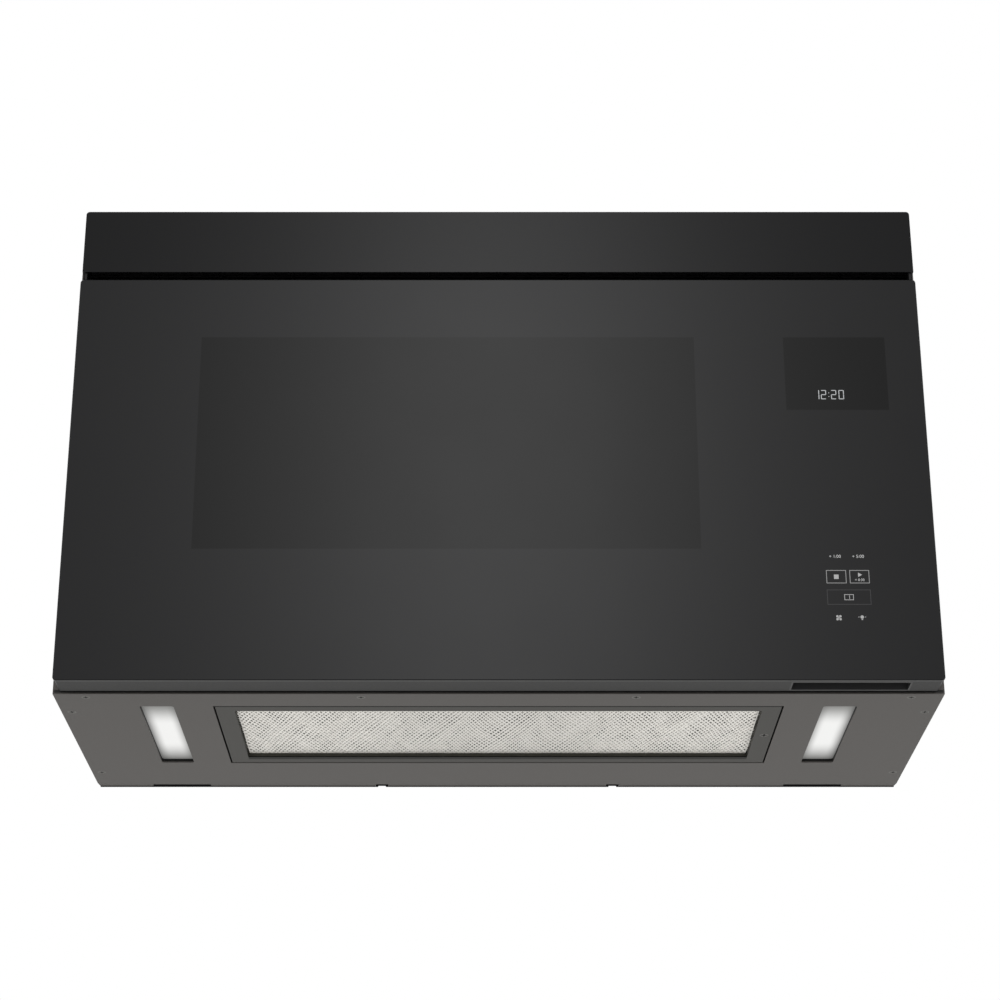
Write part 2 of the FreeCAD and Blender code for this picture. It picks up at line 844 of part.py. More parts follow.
def cooling_fan_shroud():
    """Ringed plate round the fan, on four posts from the back panel."""
    half = fan_radius + fan_clearance + fan_post
    x = (fan_x - half, fan_x + half)
    z = (fan_centre_z - half, fan_centre_z + half)
    plate = block(x, (fan_front, fan_plate_back), z)
    ring_y = (fan_front - fan_depth, fan_plate_back)
    ring = rod("y", (fan_x, fan_centre_z), fan_radius + fan_clearance + fan_plate, ring_y)
    posts = []
    for side_x in (-1, 1):
        for side_z in (-1, 1):
            px = fan_x + side_x * (half - fan_post / 2)
            pz = fan_centre_z + side_z * (half - fan_post / 2)
            posts.append(rod("y", (px, pz), fan_post / 2, (fan_plate_back, back_inner)))
    bore = rod("y", (fan_x, fan_centre_z), fan_radius + fan_clearance, ring_y)
    return joined([plate, ring] + posts).cut(bore)


def cooling_fan_motor():
    """Square motor on the back panel with a bore for the fan shaft."""
    half = fan_motor_size / 2
    y = (back_inner - fan_motor_depth, back_inner)
    motor = block((fan_x - half, fan_x + half), y, (fan_centre_z - half, fan_centre_z + half))
    motor = rounded(motor, half / 3, "y")
    bore_y = (y[0], y[0] + fan_motor_depth / 2)
    return motor.cut(rod("y", (fan_x, fan_centre_z), fan_shaft_radius + shaft_clearance, bore_y))


def cooling_fan_blade():
    """Axial fan: hub, shaft and pitched blades."""
    hub_y = (fan_front - fan_depth, fan_front)
    centre = (fan_x, fan_centre_z)
    hub = rod("y", centre, fan_hub_radius, hub_y)
    shaft = rod("y", centre, fan_shaft_radius, (hub_y[1], back_inner - fan_motor_depth + fan_shaft_depth))
    parts = [hub, shaft]
    middle_y = (hub_y[0] + hub_y[1]) / 2
    for turn in range(fan_blade_count):
        blade = block(
            (fan_x - fan_blade_sheet / 2, fan_x + fan_blade_sheet / 2),
            (middle_y - fan_depth, middle_y + fan_depth),
            (fan_centre_z + fan_hub_radius / 2, fan_centre_z + fan_radius),
        )
        pivot = FreeCAD.Vector(fan_x, middle_y, fan_centre_z)
        blade.rotate(pivot, FreeCAD.Vector(0, 0, 1), fan_blade_pitch)
        blade.rotate(pivot, FreeCAD.Vector(0, 1, 0), 360 * turn / fan_blade_count)
        parts.append(blade)
    ring = rod("y", centre, fan_radius, (hub_y[0], hub_y[1] + fan_depth * 2))
    return joined(parts).common(ring)


wheel_start = blower_motor_length / 2 + scroll_wall + scroll_side_gap


def blower_scroll(side):
    """Scroll housing of one wheel, open at its two inlets and its front outlet."""
    near = wheel_start - scroll_side_gap
    far = wheel_start + blower_wheel_width + scroll_side_gap
    x = (min(side * near, side * far), max(side * near, side * far))
    inner_x = grow(x, -scroll_wall)
    centre = (blower_y, blower_z)
    front = blower_y - scroll_outlet_length
    top = blower_z + scroll_radius
    shell = rod("x", centre, scroll_radius, x)
    outlet = block(x, (front, blower_y), (top - scroll_outlet_height, top))
    foot_y = (blower_y - scroll_foot / 2, blower_y + scroll_foot / 2)
    foot = block(x, foot_y, (blower_z - scroll_radius, blower_z - scroll_radius + scroll_foot_height))
    hollow = rod("x", centre, scroll_radius - scroll_wall, inner_x)
    throat = block(inner_x, (front, blower_y), (top - scroll_outlet_height + scroll_wall, top - scroll_wall))
    inlet = rod("x", centre, blower_wheel_radius - blower_blade_depth, x)
    return joined([shell, outlet, foot]).cut(joined([hollow, throat, inlet]))


def blower_motor():
    """Round motor between the two scrolls."""
    half = blower_motor_length / 2
    body = rod("x", (blower_y, blower_z), blower_motor_radius, (-half, half))
    bore = rod("x", (blower_y, blower_z), blower_shaft_radius + shaft_clearance, (-half, half))
    return body.cut(bore)


def blower_bracket():
    """Base sheet of the blower with two saddles under its motor."""
    reach = wheel_start + blower_wheel_width + scroll_side_gap
    y = (blower_y - scroll_foot, blower_y + scroll_foot)
    floor = blower_z - scroll_radius
    base = block((-reach, reach), y, (cavity_roof, floor))
    groove = block((-reach, reach), grow(y, -bracket_sheet), (cavity_roof, floor - bracket_sheet))
    saddles = []
    for side in (-1, 1):
        middle = side * blower_motor_length / 4
        x = (middle - saddle_width / 2, middle + saddle_width / 2)
        saddles.append(block(x, grow(y, -bracket_sheet * 4), (floor, blower_z - blower_motor_radius / 3)))
    cut = rod("x", (blower_y, blower_z), blower_motor_radius, (-reach, reach))
    return joined([base.cut(groove)] + saddles).cut(cut)


def blower_wheels():
    """Two squirrel-cage wheels on one shaft."""
    centre = (blower_y, blower_z)
    end = wheel_start + blower_wheel_width
    parts = [rod("x", centre, blower_shaft_radius, (-end, end))]
    inner = blower_wheel_radius - blower_blade_depth
    for side in (-1, 1):
        low = side * wheel_start
        high = side * end
        span = (min(low, high), max(low, high))
        middle = (span[0] + span[1]) / 2
        disc_x = (middle - blower_blade_sheet, middle + blower_blade_sheet)
        parts.append(rod("x", centre, blower_wheel_radius, disc_x))
        ring_width = 2 * blower_blade_sheet
        blade_x = (span[0] + ring_width, span[1] - ring_width)
        for ring_x in ((span[0], blade_x[0]), (blade_x[1], span[1])):
            ring = rod("x", centre, blower_wheel_radius, ring_x)
            parts.append(ring.cut(rod("x", centre, blower_wheel_radius - 3 * blower_blade_sheet, ring_x)))
        for turn in range(blower_blade_count):
            for half in ((blade_x[0], disc_x[0]), (disc_x[1], blade_x[1])):
                blade = block(
                    half,
                    (blower_y - blower_blade_sheet / 2, blower_y + blower_blade_sheet / 2),
                    (blower_z + inner, blower_z + blower_wheel_radius - blower_blade_sheet),
                )
                pivot = FreeCAD.Vector(0, blower_y, blower_z + blower_wheel_radius - blower_blade_sheet)
                blade.rotate(pivot, FreeCAD.Vector(1, 0, 0), blower_blade_pitch)
                blade.rotate(FreeCAD.Vector(0, blower_y, blower_z), FreeCAD.Vector(1, 0, 0),
                             360 * turn / blower_blade_count)
                parts.append(blade)
    return joined(parts)


def charcoal_filter():
    """Flat charcoal cassette standing on the oven roof behind the vent."""
    front = plate_back + case_flange + tray_gap
    y = (front, front + charcoal_thickness)
    z = (cavity_roof, case_inner_top - charcoal_gap_above)
    outer = block((-charcoal_width / 2, charcoal_width / 2), y, z)
    rim = charcoal_thickness / 2
    face = block(
        (-charcoal_width / 2 + rim, charcoal_width / 2 - rim), (y[0], y[0] + charcoal_recess), grow(z, -rim)
    )
    return outer.cut(face)


def exhaust_cover():
    """Plate that closes the top exhaust opening for recirculation."""
    x = grow(exhaust_x, exhaust_overlap)
    y = grow(exhaust_y, exhaust_overlap)
    return block(x, y, (case_inner_top - case_sheet, case_inner_top))


def cord_bushing():
    """Oblong bush in the cord opening, with its flange inside the case."""
    length, width = cord_slot_length, cord_slot_width
    z = (case_inner_top - bush_depth, case_height)
    neck = rounded_slot(cord_x, cord_y, length - 2 * bush_clearance, width - 2 * bush_clearance, z)
    flange_z = (case_inner_top - case_sheet * 2, case_inner_top)
    flange = rounded_slot(cord_x, cord_y, length + 2 * bush_flange, width + 2 * bush_flange, flange_z)
    bore = rounded_slot(cord_x, cord_y, length - 2 * bush_wall, width - 2 * bush_wall, z)
    return joined([neck, flange]).cut(bore)


def mount_nuts():
    """Two nut plates under the top for the cabinet bolts."""
    z = (case_inner_top - nut_plate_thickness, case_inner_top)
    nuts = []
    for x, y in bolt_places:
        plate = block((x - nut_plate / 2, x + nut_plate / 2), (y - nut_plate / 2, y + nut_plate / 2), z)
        nuts.append(plate.cut(rod("z", (x, y), bolt_hole_radius, z)))
    return group(nuts)


def top_trim():
    """Hollow trim above the door, open below and behind, with two tabs."""
    half = trim_half
    outer = block((-half, half), (front_y, case_front), (trim_bottom, case_height))
    outer = rounded(outer, trim_corner_radius, "y", lambda m: m.z > case_height - trim_wall)
    inner = block(
        (-half + trim_wall, half - trim_wall),
        (front_y + trim_wall, case_front),
        (trim_bottom, case_height - trim_wall),
    )
    shell = outer.cut(inner)
    tabs = []
    for side in (-1, 1):
        middle = side * trim_tab_x
        x = (middle - trim_tab_width / 2, middle + trim_tab_width / 2)
        y = (case_front - 4 * trim_wall, case_front + trim_tab_depth)
        tabs.append(block(x, y, (case_inner_top - trim_wall, case_inner_top)))
    return joined([shell] + tabs)


def vent_grille():
    """Louvred insert in the mouth of the trim, with end walls beside the vent slot."""
    half = trim_half - trim_wall
    y = (front_y + trim_wall, case_front)
    z = (trim_bottom + trim_wall, trim_bottom + trim_wall + grille_height)
    frame = block((-half, half), y, z)
    frame = frame.cut(block(grow((-half, half), -slot_end_wall), grow(y, -slot_end_wall), z))
    parts = [frame]
    pitch = (y[1] - y[0]) / (grille_slat_count + 1)
    for row in range(grille_slat_count):
        low = y[0] + (row + 1) * pitch - grille_slat / 2
        lean = low + pitch / 3
        outline = [(low, z[0]), (low + grille_slat, z[0]), (lean + grille_slat, z[1]), (lean, z[1])]
        parts.append(prism(outline, "x", (-half, half)))
    rib_pitch = 2 * half / (grille_rib_count + 1)
    for column in range(grille_rib_count):
        x = -half + (column + 1) * rib_pitch
        parts.append(block((x - grille_slat / 2, x + grille_slat / 2), y, z))
    for side in (-1, 1):
        x = (half - slot_end_wall, half) if side > 0 else (-half, -half + slot_end_wall)
        parts.append(block(x, y, (door_top + vent_slot / 8, z[1])))
    return joined(parts)


def lamp_span(side):
    """X range of one light opening."""
    return (side * lamp_centre_x - lamp_width / 2, side * lamp_centre_x + lamp_width / 2)


def lamp_mouth(side, z):
    """Opening of one light, with rounded corners."""
    mouth = block(lamp_span(side), (lamp_y, lamp_y + lamp_depth), z)
    return rounded(mouth, lamp_corner_radius, "z")


def lamp_tray(side):
    """Tray over a light opening, with a lip that carries the lens."""
    mouth_x = lamp_span(side)
    mouth_y = (lamp_y, lamp_y + lamp_depth)
    inner_x = grow(mouth_x, lamp_tray_lip)
    inner_y = grow(mouth_y, lamp_tray_lip)
    top = base_sheet + lamp_tray_height
    outer = block(grow(inner_x, lamp_tray_wall), grow(inner_y, lamp_tray_wall), (base_sheet, top))
    hollow = block(inner_x, inner_y, (lamp_recess, top - lamp_tray_wall))
    return outer.cut(hollow).cut(lamp_mouth(side, (base_sheet, lamp_recess)))


def lamp_lens(side):
    """Clear plate resting on the lip of its tray."""
    slack = 2 * floor_clearance
    x = grow(lamp_span(side), lamp_tray_lip - slack / 2)
    y = grow((lamp_y, lamp_y + lamp_depth), lamp_tray_lip - slack / 2)
    return block(x, y, (lamp_recess, lamp_recess + lens_thickness))


def lamp_boards():
    """Strip boards with their light sources under the roofs of the trays."""
    pieces = []
    roof = base_sheet + lamp_tray_height - lamp_tray_wall
    for side in (-1, 1):
        board = block(lamp_span(side), (lamp_y, lamp_y + lamp_depth), (roof - board_thickness, roof))
        parts = [board]
        for index in range(led_count):
            y = lamp_y + lamp_depth * (index + 0.5) / led_count
            x = side * lamp_centre_x
            led_z = (roof - board_thickness - led_height, roof - board_thickness)
            half = led_size / 2
            parts.append(block((x - half, x + half), (y - half, y + half), led_z))
        pieces.append(joined(parts))
    return group(pieces)


def base_screws():
    """Countersunk screws that hold the base sheet."""
    return group([screw(x, y, 0, base_sheet, screw_length) for x, y in base_screw_places()])


def filter_frame():
    """Pressed frame of the grease filter with turned edges and two hinge pins."""
    x = (-filter_width / 2, filter_width / 2)
    y = (filter_y, filter_y + filter_depth)
    z = (filter_lift, filter_lift + filter_sheet)
    hollow = block(grow(x, -filter_sheet), grow(y, -filter_sheet), (z[1], filter_edge))
    tray = block(x, y, (z[0], filter_edge)).cut(hollow)
    mouth_x = (-mesh_width / 2, mesh_width / 2)
    mouth_y = (mesh_y, mesh_y + mesh_depth)
    wall = block(grow(mouth_x, filter_sheet), grow(mouth_y, filter_sheet), (z[0], mesh_recess + filter_lift))
    frame = joined([tray, wall]).cut(block(mouth_x, mouth_y, (z[0], filter_edge)))
    pin_x = x[0] + hinge_pin_inset
    reach = filter_gap + base_sheet
    pins = [
        rod("y", (pin_x, hinge_pin_z), hinge_pin_radius, (y[0] - reach, y[0] + filter_sheet)),
        rod("y", (pin_x, hinge_pin_z), hinge_pin_radius, (y[1] - filter_sheet, y[1] + reach)),
    ]
    place = filter_screw_place()
    return joined([frame] + pins).cut(screw_hole(place[0], place[1], filter_lift, filter_sheet))


def filter_mesh():
    """Layered metal mesh pad on the ledge of its frame."""
    x = grow((-mesh_width / 2, mesh_width / 2), mesh_lap)
    y = grow((mesh_y, mesh_y + mesh_depth), mesh_lap)
    low = mesh_recess + filter_lift
    return block(x, y, (low, low + mesh_thickness))


def filter_screw():
    """Screw that holds the free side of the filter frame."""
    x, y = filter_screw_place()
    return screw(x, y, filter_lift, filter_sheet, filter_screw_length)


def hinge_arm(z):
    """Steel arm from behind the front sheet to the hinge pin, with its pin."""
    level = (z, z + hinge_arm_thickness)
    arm_x = (hinge_x - hinge_arm_half_width, hinge_x + hinge_arm_half_width)
    bar = block(arm_x, (hinge_y, plate_back + hinge_flange_sheet), level)
    eye = rod("z", (hinge_x, hinge_y), hinge_eye_radius, level)
    middle = z + hinge_arm_thickness / 2
    flange = block(
        (-inner_half + 1.5 * case_sheet, -inner_half + 1.5 * case_sheet + hinge_flange_width),
        (plate_back, plate_back + hinge_flange_sheet),
        (middle - hinge_flange_height / 2, middle + hinge_flange_height / 2),
    )
    pin_half = hinge_block_height / 2 - hinge_notch_gap
    pin = rod("z", (hinge_x, hinge_y), hinge_radius, (middle - pin_half, middle + pin_half))
    return joined([bar, eye, flange, pin])


def hinge_block(z):
    """Block in the corner of the door that turns on the hinge pin."""
    middle = z + hinge_arm_thickness / 2
    half = hinge_block_height / 2
    x = (-door_half + frame_inset + frame_wall, -door_half + frame_inset + frame_wall + hinge_block_depth)
    body = block(x, (web_back, panel_front), (middle - half, middle + half))
    bore = rod("z", (hinge_x, hinge_y), hinge_radius + hinge_clearance, (middle - half, middle + half))
    return body.cut([bore, hinge_notch(z)])


def hinge_notch(z):
    """Space in the door's rear corner in which a hinge arm swings."""
    right = hinge_x + hinge_eye_radius + hinge_notch_gap
    front = hinge_y - hinge_eye_radius - hinge_notch_gap
    return block((-door_half, right), (front, case_front), hinge_gap(z))


def door_glass():
    """Full front glass with small corner radii and a ground edge."""
    x = (-door_half, door_half)
    glass = block(x, (front_y, glass_back), (door_clearance_below, door_top))
    glass = rounded(glass, door_corner_radius, "y")
    limit = front_y + glass_bevel / 2
    front = [edge for edge in glass.Edges if max(v.Point.y for v in edge.Vertexes) < limit]
    return glass.makeChamfer(glass_bevel, front)


def panel_opening():
    """X and Z ranges of the opening behind display and keys."""
    half = display_width / 2 + board_overlap / 2
    top = display_centre_z + display_height / 2 + board_overlap / 2
    return (display_centre_x - half, display_centre_x + half), (keys_bottom, top)


def door_frame():
    """Moulded frame behind the glass: rim walls, a web and two openings."""
    x = grow((-door_half, door_half), -frame_inset)
    z = grow((door_clearance_below, door_top), -frame_inset)
    outer = rounded(block(x, (glass_back, panel_front), z), door_corner_radius, "y")
    hollow = block(grow(x, -frame_wall), (web_back, panel_front), grow(z, -frame_wall))
    frame = outer.cut(hollow)
    web_y = (glass_back, web_back)
    open_x, open_z = panel_opening()
    cuts = [
        block((window_left, window_right), web_y, (window_bottom, window_top)),
        block(open_x, web_y, open_z),
        block(grow((pocket_left, pocket_right), pocket_wall), pocket_y(pocket_wall),
              (z[0], z[0] + frame_wall)),
    ]
    cuts += [hinge_notch(level) for level in hinge_levels()]
    return frame.cut(cuts)


def pocket_y(extra):
    """Y range of the finger pocket, widened by its wall."""
    return grow((front_y + pocket_front, front_y + pocket_front + pocket_depth), extra)


def pull_cup():
    """Finger cup let into the bottom edge of the door."""
    floor = door_clearance_below + frame_inset
    outer = block(grow((pocket_left, pocket_right), pocket_wall), pocket_y(pocket_wall),
                  (floor, floor + pocket_height + pocket_wall))
    hollow = block((pocket_left, pocket_right), pocket_y(0), (floor, floor + pocket_height))
    return outer.cut(hollow)


def door_inner_panel():
    """Pressed inner sheet of the door with the choke channel round the window."""
    x = grow((-door_half, door_half), -panel_inset)
    z = grow((door_clearance_below, door_top), -panel_inset)
    sheet = block(x, (panel_front, door_back), z)
    ring_x, ring_z = (choke_left, choke_right), (choke_bottom, choke_top)
    inner_x = grow(ring_x, -2 * choke_width)
    inner_z = grow(ring_z, -2 * choke_width)
    channel_front = door_back - choke_depth
    channel = block(ring_x, (channel_front, door_back), ring_z)
    hollow_y = (channel_front + panel_sheet, door_back)
    hollow = block(grow(ring_x, -panel_sheet), hollow_y, grow(ring_z, -panel_sheet))
    screen = block(inner_x, (channel_front, panel_front), inner_z)
    flat = block(inner_x, (panel_front, door_back), inner_z)
    panel = joined([joined([sheet, channel]).cut(hollow), screen, flat])
    opening = block(grow(inner_x, -panel_sheet), (channel_front, panel_front), grow(inner_z, -panel_sheet))
    cuts = [opening] + [hook_slot(level, (panel_front, door_back)) for level in hook_heights()]
    cuts += [hinge_notch(level) for level in hinge_levels()]
    return panel.cut(cuts)


def choke_cover():
    """Moulded ring that closes the choke channel towards the oven."""
    ring_x = grow((choke_left, choke_right), -panel_sheet - floor_clearance / 2)
    ring_z = grow((choke_bottom, choke_top), -panel_sheet - floor_clearance / 2)
    y = (door_back + choke_cover_proud - choke_cover_thickness, door_back + choke_cover_proud)
    inner_x = grow((choke_left, choke_right), -2 * choke_width)
    inner_z = grow((choke_bottom, choke_top), -2 * choke_width)
    cover = block(ring_x, y, ring_z).cut(block(inner_x, y, inner_z))
    lip_y = (door_back, door_back + choke_cover_proud)
    lip = block(grow(inner_x, panel_sheet), lip_y, grow(inner_z, panel_sheet)).cut(
        block(grow(inner_x, -2 * panel_sheet), lip_y, grow(inner_z, -2 * panel_sheet)))
    return joined([cover, lip])


def inner_window():
    """Clear film panel over the screen on the oven side of the door."""
    inner_x = grow((choke_left, choke_right), -2 * choke_width - 2 * panel_sheet - floor_clearance)
    inner_z = grow((choke_bottom, choke_top), -2 * choke_width - 2 * panel_sheet - floor_clearance)
    return block(inner_x, (door_back, door_back + choke_cover_proud), inner_z)


def control_board():
    """Circuit board behind the touch keys and display, with its larger parts."""
    open_x, open_z = panel_opening()
    back = web_back + board_thickness
    board = block(grow(open_x, board_overlap), (web_back, back), grow(open_z, board_overlap))
    chips = []
    right = open_x[1] - board_overlap
    for index in range(chip_count):
        low = open_z[0] + (open_z[1] - open_z[0]) * (index + 0.5) / chip_count
        chips.append(block((right - 4 * chip_height, right), (back, back + chip_height),
                           (low - 2 * chip_height, low + 2 * chip_height)))
    return joined([board] + chips)


def display_module():
    """Display between the board and the glass."""
    x = (display_centre_x - display_width / 2, display_centre_x + display_width / 2)
    z = (display_centre_z - display_height / 2, display_centre_z + display_height / 2)
    return block(x, (glass_back, web_back), z)


def latch_hooks():
    """Latch bar in the door with two hooks that reach behind the front sheet."""
    x = (latch_x - latch_thickness / 2, latch_x + latch_thickness / 2)
    bar_back = panel_front - latch_panel_gap
    low = latch_lower_z - latch_neck
    high = latch_upper_z + 2 * latch_neck
    parts = [block(x, (bar_back - latch_bar_depth, bar_back), (low, high))]
    barb_front = hook_tip_y - latch_barb_length
    for z in hook_heights():
        hook = [
            (bar_back, z),
            (barb_front, z),
            (barb_front, z - latch_barb),
            (barb_front + latch_barb_length / 3, z - latch_barb),
            (hook_tip_y, z + latch_neck / 3),
            (hook_tip_y, z + latch_neck),
            (bar_back, z + latch_neck),
        ]
        parts.append(prism(hook, "x", x))
    return joined(parts)


bracket_half = latch_thickness / 2 + bracket_side_gap + bracket_wall
bracket_x = (latch_x - bracket_half, latch_x + bracket_half)
bracket_z = (latch_lower_z - bracket_below, latch_upper_z + latch_neck + bracket_above)
bracket_y = (plate_back, plate_back + bracket_depth)
switch_back = bracket_y[1] - bracket_wall
switch_front = switch_back - switch_depth
pivot_y = hook_tip_y - latch_barb_length + latch_barb_length / 6 + lever_arm
pivot_z = latch_lower_z - latch_barb - lever_gap - lever_sheet / 2


def latch_bracket():
    """Moulded channel behind the front sheet that holds switches and lever."""
    outer = block(bracket_x, bracket_y, bracket_z)
    hollow_y = (bracket_y[0], switch_back)
    hollow = block(grow(bracket_x, -bracket_wall), hollow_y, grow(bracket_z, -bracket_wall))
    pin = rod("x", (pivot_y, pivot_z), lever_pivot_radius, bracket_x)
    return joined([outer.cut(hollow), pin])


def switch_places():
    """X centre, Z centre and plunger X of each interlock switch."""
    pair = switch_width / 2 + plunger_clearance
    lower = latch_lower_z + latch_neck + lever_sheet
    upper = latch_upper_z + latch_neck / 2 + switch_length / 4
    return (
        (latch_x, lower, latch_x, latch_lower_z + plunger_height),
        (latch_x - pair, upper, latch_x - latch_thickness / 4, latch_upper_z + plunger_height),
        (latch_x + pair, upper, latch_x + latch_thickness / 4, latch_upper_z + plunger_height),
    )


def interlock_switches():
    """Three door switches on the rear wall of their bracket."""
    bodies = []
    for x, z, plunger_x, plunger_z in switch_places():
        half = (switch_width - 2 * plunger_clearance) / 2
        body_z = (z - switch_length / 2, z + switch_length / 2)
        body = block((x - half, x + half), (switch_front, switch_back), body_z)
        bore_y = (switch_front, switch_front + plunger_bore)
        bore = rod("y", (plunger_x, plunger_z), plunger_radius + plunger_clearance, bore_y)
        bodies.append(body.cut(bore))
    return group(bodies)


def switch_plungers():
    """Plungers that the hook tips press into the switches."""
    pins = []
    for _, _, plunger_x, plunger_z in switch_places():
        span = (hook_tip_y + plunger_gap, switch_front + plunger_bore - plunger_travel - plunger_gap)
        pins.append(rod("y", (plunger_x, plunger_z), plunger_radius, span))
    return group(pins)


def release_lever():
    """Rocking lever that lifts the lower hook when the door is released."""
    x = (latch_x - lever_width / 2, latch_x + lever_width / 2)
    boss = rod("x", (pivot_y, pivot_z), lever_boss_radius, x)
    arm_z = (pivot_z - lever_sheet / 2, pivot_z + lever_sheet / 2)
    arm = block(x, (pivot_y - lever_arm, pivot_y), arm_z)
    tail = block(x, (pivot_y, pivot_y + lever_tail), arm_z)
    bore = rod("x", (pivot_y, pivot_z), lever_pivot_radius + shaft_clearance, x)
    return joined([boss, arm, tail]).cut(bore)


def release_coil():
    """Coil and pole under the lever's tail, on the floor of the bracket."""
    y = pivot_y + lever_tail - coil_radius / 2
    floor = bracket_z[0] + bracket_wall
    top = pivot_z - lever_sheet / 2 - coil_air_gap
    return joined([
        rod("z", (latch_x, y), coil_radius, (floor, top - coil_pole)),
        rod("z", (latch_x, y), coil_radius / 3, (floor, top)),
    ])


def power_board():
    """Power board on stand-offs from the right-hand side of the case."""
    back = inner_half - standoff_length
    front = back - board_thickness
    y = (plate_back + power_board_front, plate_back + power_board_front + power_board_depth)
    z = (power_board_z, power_board_z + power_board_height)
    parts = [block((front, back), y, z)]
    for side_y in (y[0] + 2 * standoff_radius, y[1] - 2 * standoff_radius):
        for side_z in (z[0] + 2 * standoff_radius, z[1] - 2 * standoff_radius):
            parts.append(rod("x", (side_y, side_z), standoff_radius, (back, inner_half)))
    relay_z = (z[0] + relay_margin, z[0] + relay_margin + relay_length)
    for index in range(relay_count):
        low = y[0] + relay_margin + index * relay_pitch
        parts.append(block((front - relay_size, front), (low, low + relay_size), relay_z))
    supply_y = (y[1] - relay_margin - supply_size, y[1] - relay_margin)
    supply_z = (z[1] - relay_margin - supply_size, z[1] - relay_margin)
    parts.append(block((front - supply_height, front), supply_y, supply_z))
    return joined(parts)


def cavity_lamp():
    """Lamp holder against the right-hand wall of the oven."""
    x0 = cavity_right + cavity_sheet
    y = cavity_back - 2 * cavity_lamp_size
    half = cavity_lamp_size / 2
    socket = x0 + cavity_lamp_socket
    holder = block((x0, socket), (y - half, y + half), (cavity_lamp_z - half, cavity_lamp_z + half))
    holder = rounded(holder, half / 3, "x")
    bulb = rod("x", (y, cavity_lamp_z), bulb_radius, (socket, x0 + cavity_lamp_depth))
    return joined([holder, bulb])


def thermal_cutouts():
    """Two disc cut-outs on the oven roof."""
    discs = []
    for side in (-1, 1):
        x = window_centre_x + side * cutout_x
        place = (x, cavity_centre_y + cutout_y)
        discs.append(rod("z", place, cutout_radius, (cavity_roof, cavity_roof + cutout_height)))
    return group(discs)


parts = {
    "outer_case": outer_case(),
    "back_panel": back_panel(),
    "base_plate": base_plate(),
    "front_plate": front_plate(),
    "oven_cavity": oven_cavity(),
    "ceramic_floor": ceramic_floor(),
    "antenna_well": antenna_well(),
    "antenna_rotor": antenna_rotor(),
    "stirrer_motor": stirrer_motor(),
    "waveguide": waveguide(),
    "magnetron": magnetron(),
    "component_tray": component_tray(),
    "transformer_core": transformer_core(),
    "transformer_windings": transformer_windings(),
    "hv_capacitor": hv_capacitor(),
    "hv_diode": hv_diode(),
    "cooling_fan_shroud": cooling_fan_shroud(),
    "cooling_fan_motor": cooling_fan_motor(),
    "cooling_fan_blade": cooling_fan_blade(),
    "blower_scroll_left": blower_scroll(-1),
    "blower_scroll_right": blower_scroll(1),
    "blower_motor": blower_motor(),
    "blower_bracket": blower_bracket(),
    "blower_wheels": blower_wheels(),
    "charcoal_filter": charcoal_filter(),
    "exhaust_cover": exhaust_cover(),
    "cord_bushing": cord_bushing(),
    "mount_nuts": mount_nuts(),
    "top_trim": top_trim(),
    "vent_grille": vent_grille(),
    "lamp_tray_left": lamp_tray(-1),
    "lamp_tray_right": lamp_tray(1),
    "lamp_lens_left": lamp_lens(-1),
    "lamp_lens_right": lamp_lens(1),
    "lamp_boards": lamp_boards(),
    "base_screws": base_screws(),
    "filter_frame": filter_frame(),
    "filter_mesh": filter_mesh(),
    "filter_screw": filter_screw(),
    "hinge_arm_lower": hinge_arm(hinge_lower_z),
    "hinge_arm_upper": hinge_arm(hinge_upper_z),
    "hinge_block_lower": hinge_block(hinge_lower_z),
    "hinge_block_upper": hinge_block(hinge_upper_z),
    "door_glass": door_glass(),
    "door_frame": door_frame(),
    "pull_cup": pull_cup(),
    "door_inner_panel": door_inner_panel(),
    "choke_cover": choke_cover(),
    "inner_window": inner_window(),
    "control_board": control_board(),
    "display_module": display_module(),
    "latch_hooks": latch_hooks(),
    "latch_bracket": latch_bracket(),
    "interlock_switches": interlock_switches(),
    "switch_plungers": switch_plungers(),
    "release_lever": release_lever(),
    "release_coil": release_coil(),
    "power_board": power_board(),
    "cavity_lamp": cavity_lamp(),
    "thermal_cutouts": thermal_cutouts(),
}

os.makedirs("parts", exist_ok=True)
for name, shape in parts.items():
    shape.exportStep("parts/" + name + ".step")
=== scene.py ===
import math

import bmesh
import bpy
from bpy.props import FloatProperty, FloatVectorProperty, PointerProperty
from mathutils import Matrix, Vector


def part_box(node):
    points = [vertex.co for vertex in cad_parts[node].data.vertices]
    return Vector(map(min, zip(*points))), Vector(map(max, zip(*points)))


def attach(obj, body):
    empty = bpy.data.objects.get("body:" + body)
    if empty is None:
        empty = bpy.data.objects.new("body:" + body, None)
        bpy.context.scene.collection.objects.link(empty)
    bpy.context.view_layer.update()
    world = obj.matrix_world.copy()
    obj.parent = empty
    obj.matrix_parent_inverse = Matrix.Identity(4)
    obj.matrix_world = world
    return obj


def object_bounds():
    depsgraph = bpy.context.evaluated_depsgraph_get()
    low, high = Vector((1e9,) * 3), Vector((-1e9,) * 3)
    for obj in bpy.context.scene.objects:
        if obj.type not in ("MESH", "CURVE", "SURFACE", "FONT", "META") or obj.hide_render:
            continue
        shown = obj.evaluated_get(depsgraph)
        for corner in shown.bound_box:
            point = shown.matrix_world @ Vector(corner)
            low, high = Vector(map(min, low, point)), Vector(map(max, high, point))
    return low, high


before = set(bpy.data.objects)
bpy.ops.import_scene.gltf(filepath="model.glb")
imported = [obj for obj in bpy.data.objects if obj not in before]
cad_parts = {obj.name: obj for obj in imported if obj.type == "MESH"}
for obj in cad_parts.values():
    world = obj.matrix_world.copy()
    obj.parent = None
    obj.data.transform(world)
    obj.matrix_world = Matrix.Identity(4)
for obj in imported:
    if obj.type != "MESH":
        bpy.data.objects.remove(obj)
cad_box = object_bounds()

